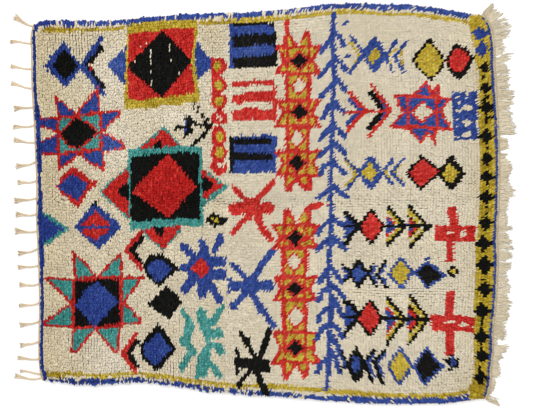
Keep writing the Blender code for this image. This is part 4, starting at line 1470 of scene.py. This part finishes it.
def leg_dyes(places, random):
    """The dye at each leg's place on the plan, where the dyes meet unevenly."""
    ragged = random.normal(0.0, CHART_JITTER, places.shape)
    chart = Chart(on_chart(places) + ragged, random)
    paint_chart(chart, edge_depths(places))
    return chart.dye


def make_legs(tufts, random):
    """The two legs of every tuft."""
    half = np.tile((-0.5, 0.5), len(tufts.lay))
    count = len(half)
    each = Tufts(*(np.repeat(values, 2, axis=0) for values in tufts))
    lay = each.lay + random.normal(0.0, LEG_TURN, count)
    ahead = facing(lay)
    left = to_left(ahead)
    dye = leg_dyes(each.even + left * (half * LEG_APART)[:, None], random)

    # Rows open between the ends of legs that lean down or up, and beside legs that lean along the rows
    upright = np.abs(np.sin(lay))
    closer = 1.0 - PARTED_CLOSER * each.parted - OPENED_CLOSER * each.opened * (1.0 - upright)
    middle = each.places + left * (half * LEG_APART * closer)[:, None]
    shift = LEG_SHIFT[1] + (LEG_SHIFT[0] - LEG_SHIFT[1]) * each.at_left
    middle += ahead * (shift * random.normal(0.0, 1.0, count))[:, None]
    reach = LEG_REACH * (1.0 + random.uniform(*LEG_REACH_VARIES, count))
    reach *= 1.0 - (OPENED_SHORTER[0] + OPENED_SHORTER[1] * upright) * each.opened
    height = each.top + random.normal(0.0, TOP_UNEVEN, count)
    stray = random.normal(0.0, LEG_STRAY, count)
    plump = 1.0 + random.uniform(-LEG_PLUMP_VARIES, LEG_PLUMP_VARIES, count)

    paths = []
    for share, up, _ in LEG_PLACES:
        forward = share * reach * (each.held if share < 0 else 1.0)
        aside = stray * max(share, 0.0) / LEG_PLACES[-1][0]
        flat = middle + ahead * forward[:, None] + left * aside[:, None]
        paths.append(np.column_stack([flat, ROOT_HEIGHT + (height - ROOT_HEIGHT) * up]))
    plump = plump[:, None] * np.array([size for _, _, size in LEG_PLACES[:-1]])
    thinner = (1.0 - PARTED_THINNER * each.parted)[:, None]
    dyed = np.where(dye == CREAM, 1.0, DYED_UNEVEN)
    tones = np.clip(each.tone + dyed * random.normal(0.0, LEG_TONE_UNEVEN, count), *TONE_LIMITS)
    ages = np.clip(each.age + dyed * random.normal(0.0, LEG_AGE_UNEVEN, count), 0.0, 1.0)

    on_plan = on_chart(middle)
    for fleck in FLECKS:
        dye[np.argmin(np.hypot(*(on_plan - fleck).T))] = CREAM
    return Legs(np.stack(paths, axis=1), LEG_WIDTH * plump * thinner, LEG_DEPTH * plump, tones, ages, dye)


def make_pile(legs):
    """The pile, one piece for each dye, and three for the cream one."""
    *shapes, numbers = legs
    groups = {dye: np.flatnonzero(numbers == number) for number, dye in enumerate(DYES)}
    cream = np.array_split(groups.pop("cream"), 3)
    groups.update(zip(("cream_left", "cream_middle", "cream_right"), cream))
    wools = {dye: wool(f"{dye}_wool", shades) for dye, shades in DYES.items()}
    made = []
    for name, members in groups.items():
        paths, widths, depths, tones, ages = (values[members] for values in shapes)
        material = wools[name.split("_")[0]]
        made.append(strands(f"pile_{name}", paths, widths, depths, LEG_SIDES, tones, ages, material))
    return made


def make_ground(dyes):
    """The weave that the knots are tied in, as one closed sheet with a cell for every knot."""
    u, v = np.linspace(0.0, 1.0, COLUMNS + 1), np.linspace(0.0, 1.0, ROWS + 1)
    for steps, length in ((u, RIGHT_EDGE[0].x - LEFT_EDGE[0].x), (v, TOP_EDGE[0].y - BOTTOM_EDGE[0].y)):
        steps[0], steps[-1] = FOOT_INSET / length, 1.0 - FOOT_INSET / length
    plan = field_point(*np.meshgrid(u, v, indexing="ij"))
    upper = np.dstack([plan, np.full(plan.shape[:2], GROUND_THICKNESS)]).reshape(-1, 3)
    number = np.arange(len(upper)).reshape(COLUMNS + 1, ROWS + 1)
    cells = np.stack([number[:-1, :-1], number[1:, :-1], number[1:, 1:], number[:-1, 1:]], axis=-1)
    cells = cells.reshape(-1, 4)
    rim = np.concatenate([number[:-1, 0], number[-1, :-1], number[:0:-1, -1], number[0, :0:-1]])
    after = np.roll(rim, -1)
    below = len(upper)
    walls = np.stack([rim + below, after + below, after, rim], axis=-1)
    faces = np.concatenate([cells, cells[:, ::-1] + below, walls])

    grid = np.moveaxis(np.indices((COLUMNS + 1, ROWS + 1)), 0, -1).reshape(-1, 2).astype(float)
    share = grid / (COLUMNS, ROWS)
    low_map = share[cells[:, ::-1]] * GROUND_MAP + (GROUND_MAP_APART, 0.0)
    start = np.arange(len(rim)) / len(rim)
    end = start + RIM_MAP_WIDTH / len(rim)
    low, high = (np.full(len(rim), height) for height in RIM_MAP_HEIGHTS)
    rim_map = np.stack([start, low, end, low, end, high, start, high], axis=-1).reshape(-1, 4, 2)
    maps = {
        "weave": np.concatenate([grid[cells], grid[cells[:, ::-1]], grid[walls % below]]).reshape(-1, 2),
        "OFBake": np.concatenate([share[cells] * GROUND_MAP, low_map, rim_map]).reshape(-1, 2),
    }
    points = np.concatenate([upper, upper * (1.0, 1.0, 0.0)])
    ground = new_object("ground_weave", points, [faces], ground_wool(), maps=maps)
    palette = np.array([[*screen_colour(shades.usual), 1.0] for shades in DYES.values()])
    knots = palette[dyes.ravel()]
    colours = np.concatenate([knots, knots, np.tile(palette[CREAM], (len(rim), 1))]).repeat(4, axis=0)
    layer = ground.data.color_attributes.new("dye", "FLOAT_COLOR", "CORNER")
    layer.data.foreach_set("color", colours.astype(np.float32).ravel())
    ground.data.shade_flat()
    return ground


def line_normals(line):
    """The direction to the left of a line at each of its points."""
    heading = np.gradient(line, axis=0)
    heading /= np.linalg.norm(heading, axis=1, keepdims=True)
    return to_left(heading)


def run_along(line):
    """How far along a line each of its points lies."""
    return np.concatenate([[0.0], np.cumsum(np.linalg.norm(np.diff(line, axis=0), axis=1))])


def outer_line(edge, distance, spacing):
    """A line along a side of the pile, outside it by the distance, with its points a spacing apart."""
    line = curve_through(edge, np.linspace(0.0, 1.0, EDGE_STEPS))
    line = line + line_normals(line) * (-distance if edge in (BOTTOM_EDGE, RIGHT_EDGE) else distance)
    run = run_along(line)
    steps = np.linspace(0.0, run[-1], max(3, round(run[-1] / spacing)) + 1)
    return np.column_stack([np.interp(steps, run, line[:, axis]) for axis in (0, 1)])


def plies(line, height, radius, pitch, turn=0.0):
    """Paths of the two plies of a twisted yarn that lies along a line."""
    paths = []
    for ply in (0.0, 0.5):
        phase = 2 * math.pi * (run_along(line) / pitch + ply) + turn
        flat = line + line_normals(line) * (radius * np.cos(phase))[:, None]
        paths.append(np.column_stack([flat, height + radius * np.sin(phase)]))
    return np.array(paths)


def yarn(name, paths, size, sides, material, tones=None, ages=None):
    """Strands of one width and depth all along."""
    count, places = paths.shape[:2]
    tones = np.ones(count) if tones is None else tones
    ages = np.full(count, USUAL_AGE) if ages is None else ages
    width, depth = (np.full((count, places - 1), across) for across in size)
    return strands(name, paths, width, depth, sides, tones, ages, material)


def make_selvedges(material):
    """The overcast cords along the two long sides."""
    made = []
    for name, edge in (("selvedge_top", TOP_EDGE), ("selvedge_bottom", BOTTOM_EDGE)):
        line = outer_line(edge, -SELVEDGE_WIDTH / 2, SELVEDGE_SPACING)
        paths = plies(line, SELVEDGE_WIDTH / 2, *SELVEDGE_TWIST)
        size = [SELVEDGE_WIDTH * share for share in SELVEDGE_PLY]
        made.append(yarn(name, paths, size, YARN_SIDES, material))
    return made


def woven_band(name, edge, width, rows, material, random):
    """A flat-woven strip: weft yarns side by side that go over and under the warps."""
    pitch = width / rows
    size = (pitch * WEFT_WIDTH, STRIP_HEIGHT * WEFT_DEPTH)
    made = []
    for row in range(rows):
        line = outer_line(edge, STRIP_GAP + pitch * (row + 0.5), LOCK_PITCH / 2)
        wave = STRIP_WAVE * np.cos((np.arange(len(line)) + row) * math.pi)
        path = np.column_stack([line, STRIP_HEIGHT * 0.5 + wave])
        tone = np.array([1.0 + random.normal(0.0, STRIP_TONE_UNEVEN)])
        made.append(yarn(f"{name}_{row + 1}", path[None], size, YARN_SIDES, material, tone))
    return made


def twined_line(name, edge, distance, twist, material):
    """Two plies twined along the outer side of a strip."""
    radius, pitch = twist
    paths = plies(outer_line(edge, distance, pitch / TWINE_STEPS), radius * TWINE_HEIGHT, radius, pitch)
    return yarn(name, paths, [radius * share for share in TWINE_PLY], YARN_SIDES, material)


def strand_line(start, reach, angle, bow, sway, steps):
    """The middle of a strand that lies on the floor, at each step of its run."""
    ahead = facing(angle)
    steps = np.asarray(steps, float)
    aside = bow * np.sin(math.pi * steps) + sway * reach * np.sin(2 * math.pi * steps)
    return np.asarray(start) + ahead * (reach * steps)[:, None] + to_left(ahead) * aside[:, None]


def brush_strands(tassel, middle_line, brush_from, random):
    """The wisps of one brush, which go on from the end of its cord."""
    sides = random.uniform(-1.0, 1.0, BRUSH_STRANDS)
    levels = random.uniform(0.0, 1.0, BRUSH_STRANDS)
    for side, level in zip(sides, levels):
        longer = random.uniform(*BRUSH_REACH_VARIES)
        places = []
        for step, spread, sink in zip(BRUSH_STEPS, BRUSH_SPREAD, BRUSH_SINK):
            at = brush_from + step * (1.0 - brush_from) * longer
            middle, beyond = middle_line((at - BRUSH_LOOK_BACK, at))
            heading = (beyond - middle) / np.linalg.norm(beyond - middle)
            aside = side * spread * tassel.brush_wide / 2 + random.normal(0.0, BRUSH_STRAY)
            height = BRUSH_LEVELS[0] + BRUSH_LEVELS[1] * level * sink
            places.append((*(beyond + to_left(heading) * aside), height))
        yield places


def make_tassels(material, random):
    """The cords, each of two plies, and the brushes at their ends."""
    cords, brushes = [], []
    for tassel in TASSELS:
        root_x = edge_at(LEFT_EDGE, tassel.root_y) - STRIP_GAP - TASSEL_STRIP_WIDTH + INTO_STRIP
        start = np.array([root_x, tassel.root_y])
        run = np.array([tassel.tip_x - BRUSH_BEYOND, tassel.tip_y]) - start
        reach, angle = float(np.hypot(*run)), math.atan2(run[1], run[0])
        middle_line = partial(strand_line, start, reach, angle, -tassel.bow, CORD_SWAY)
        cord_share = 1.0 - (tassel.brush_long + BRUSH_BEYOND) / reach
        line = middle_line(np.linspace(0.0, cord_share + CORD_INTO_BRUSH, CORD_STEPS))
        cords.append(plies(line, CORD_HEIGHT, *CORD_TWIST, random.uniform(*CORD_TURNS)))
        brushes.extend(brush_strands(tassel, middle_line, cord_share - BRUSH_LEAD / reach, random))
    cords, brushes = np.concatenate(cords), np.array(brushes)
    cord_tones = 1.0 + random.normal(0.0, CORD_TONE_UNEVEN, len(cords))
    cord_piece = yarn("tassel_cords", cords, CORD_PLY, CORD_SIDES, material, cord_tones)
    tones = 1.0 + random.normal(0.0, BRUSH_TONE_UNEVEN, len(brushes))
    ages = np.clip(BRUSH_AGE + random.normal(0.0, BRUSH_AGE_UNEVEN, len(brushes)), 0.0, 1.0)
    return [cord_piece, yarn("tassel_brushes", brushes, BRUSH_WISP, WISP_SIDES, material, tones, ages)]


def clump_locks(clump, random):
    """The locks of a clump from the top down, as (y of the root's middle, reach, lean in degrees)."""
    count = max(1, round((clump.from_y - clump.to_y) / LOCK_PITCH))
    for k in range(count):
        s = (k + 0.5) / count
        y = clump.from_y + (clump.to_y - clump.from_y) * s
        reach = np.interp(s, (0.0, 0.5, 1.0), (clump.reach_from, clump.reach_mid, clump.reach_to))
        reach *= 1.0 + random.uniform(-LOCK_SHORTER, LOCK_LONGER)
        yield y, reach, clump.lean_from + (clump.lean_to - clump.lean_from) * s


def lock_strand(root, reach, lean, sway, side, random):
    """The path of one warp end of a lock, at a side of it from -1 to 1."""
    long = reach * random.uniform(*FRINGE_REACH_VARIES)
    curl = random.normal(0.0, FRINGE_CURL)
    angle = math.radians(lean + random.normal(0.0, FRINGE_TURN))
    start = (root[0] - INTO_STRIP, root[1])
    line = strand_line(start, long + INTO_STRIP, angle, curl * long, sway, FRINGE_STEPS)
    line += to_left(facing(angle)) * (side * LOCK_PITCH / 2 * np.array(FRINGE_SPREAD))[:, None]
    height = along(FRINGE_STEPS, FRINGE_HEIGHTS)
    height = height + random.uniform(*FRINGE_LIFT_VARIES) * np.array(FRINGE_LIFT)
    return np.column_stack([line, height])


def make_fringe(material, random):
    """The loose warp ends, a few to each lock of the solids."""
    lock_random = np.random.default_rng(LOCK_SEED)
    paths, tones, ages = [], [], []
    for y, reach, lean in chain.from_iterable(clump_locks(clump, lock_random) for clump in CLUMPS):
        sway = LOCK_SWAY * lock_random.uniform(-1.0, 1.0)
        root = (edge_at(RIGHT_EDGE, y) + STRIP_GAP + FRINGE_STRIP_WIDTH, y)
        steep = abs(lean) > STEEP_LEAN
        strands_here = FRINGE_STRANDS * (2 if steep else 1)
        lock_tone = random.normal(0.0, FRINGE_TONE_UNEVEN)
        waves = math.sin(y / LOCK_AGE_WAVES[0]) * math.sin(y / LOCK_AGE_WAVES[1])
        lock_age = USUAL_AGE + LOCK_AGE_SWING * waves + random.normal(0.0, LOCK_AGE_UNEVEN)
        for k in range(strands_here):
            side = (k + 0.5) / strands_here * 2 - 1 + random.normal(0.0, FRINGE_STRAY)
            side *= STEEP_SPREAD if steep else 1.0
            paths.append(lock_strand(root, reach, lean, sway, side, random))
            tones.append(1.0 + lock_tone + random.normal(0.0, FRINGE_TONE_UNEVEN))
            ages.append(lock_age + random.normal(0.0, FRINGE_AGE_UNEVEN))
    ages = np.clip(ages, 0.0, 1.0)
    return [yarn("fringe_strands", np.array(paths), FRINGE_WISP, WISP_SIDES, material, np.array(tones), ages)]


def make_floor():
    """A wide pale floor, which isn't part of the rug."""
    mesh = bpy.data.meshes.new("floor")
    corners = [(FLOOR_HALF * x, FLOOR_HALF * y, 0) for x, y in ((-1, -1), (1, -1), (1, 1), (-1, 1))]
    mesh.from_pydata(corners, [], [(0, 1, 2, 3)])
    floor = bpy.data.objects.new("floor", mesh)
    bpy.context.scene.collection.objects.link(floor)
    material = bpy.data.materials.new("floor_white")
    material.use_nodes = True
    shader = material.node_tree.nodes["Principled BSDF"]
    shader.inputs["Base Color"].default_value = (FLOOR_SHADE, FLOOR_SHADE, FLOOR_SHADE, 1.0)
    shader.inputs["Roughness"].default_value = FLOOR_ROUGHNESS
    mesh.materials.append(material)
    floor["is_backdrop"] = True


def make_lights():
    """Even daylight with a large soft light from the upper left."""
    world = bpy.data.worlds.new("daylight")
    bpy.context.scene.world = world
    world.use_nodes = True
    world.node_tree.nodes["Background"].inputs["Color"].default_value = (1.0, 1.0, 1.0, 1.0)
    world.node_tree.nodes["Background"].inputs["Strength"].default_value = WORLD_STRENGTH
    lamp = bpy.data.lights.new("soft_light", "AREA")
    lamp.shape = "SQUARE"
    lamp.size = LAMP_SIZE
    lamp.energy = LAMP_POWER
    holder = bpy.data.objects.new("soft_light", lamp)
    holder.location = LAMP_PLACE
    holder.rotation_euler = [math.radians(turn) for turn in LAMP_TURN]
    bpy.context.scene.collection.objects.link(holder)
    bpy.context.scene.view_settings.view_transform = "Standard"


def make_camera():
    """Straight above the rug, with the photo's frame: +X to the right and +Y up."""
    lens = bpy.data.cameras.new("camera")
    lens.lens = CAMERA_LENS
    lens.sensor_width = CAMERA_SENSOR
    camera = bpy.data.objects.new("camera", lens)
    x = CHART_CORNER[0] + VIEW_MIDDLE[0] - PLAN_MIDDLE[0]
    y = CHART_CORNER[1] - VIEW_MIDDLE[1] - PLAN_MIDDLE[1]
    distance = VIEW_WIDTH * CAMERA_LENS / CAMERA_SENSOR + PILE_TOP
    camera.location = (x * MM, y * MM, distance * MM)
    bpy.context.scene.collection.objects.link(camera)
    bpy.context.scene.camera = camera


def place(pieces, node):
    """Puts pieces on the rug's body in place of a solid."""
    for piece in pieces:
        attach(piece, "root")
        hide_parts(node)


make_camera()
make_lights()
make_floor()

look_random = np.random.default_rng(LOOK_SEED)
tufts, knot_dyes = make_tufts(look_random)
pile = make_pile(make_legs(tufts, look_random))
ground = make_ground(knot_dyes)
yarns = {name: wool(name, shades) for name, shades in YARNS.items()}
tan, strip = yarns["tan_yarn"], yarns["strip_yarn"]
selvedges = make_selvedges(tan)
left_band = woven_band("left_band", LEFT_EDGE, TASSEL_STRIP_WIDTH, TASSEL_STRIP_ROWS, strip, look_random)
left_band.append(twined_line("left_twine", LEFT_EDGE, LEFT_TWINE_OUT, LEFT_TWINE, tan))
right_band = woven_band("right_band", RIGHT_EDGE, FRINGE_STRIP_WIDTH, FRINGE_STRIP_ROWS, strip, look_random)
right_band.append(twined_line("right_twine", RIGHT_EDGE, RIGHT_TWINE_OUT, RIGHT_TWINE, yarns["twine_yarn"]))
tassels = make_tassels(tan, look_random)
fringe = make_fringe(yarns["warp_yarn"], look_random)

place([ground, *pile, *selvedges], "rug_field")
place([*left_band, *tassels], "tassel_end")
place([*right_band, *fringe], "fringe_end")

boxes = {"cad": cad_box, "visual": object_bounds()}
{name: [[float(c) for c in corner] for corner in box] for name, box in boxes.items()}
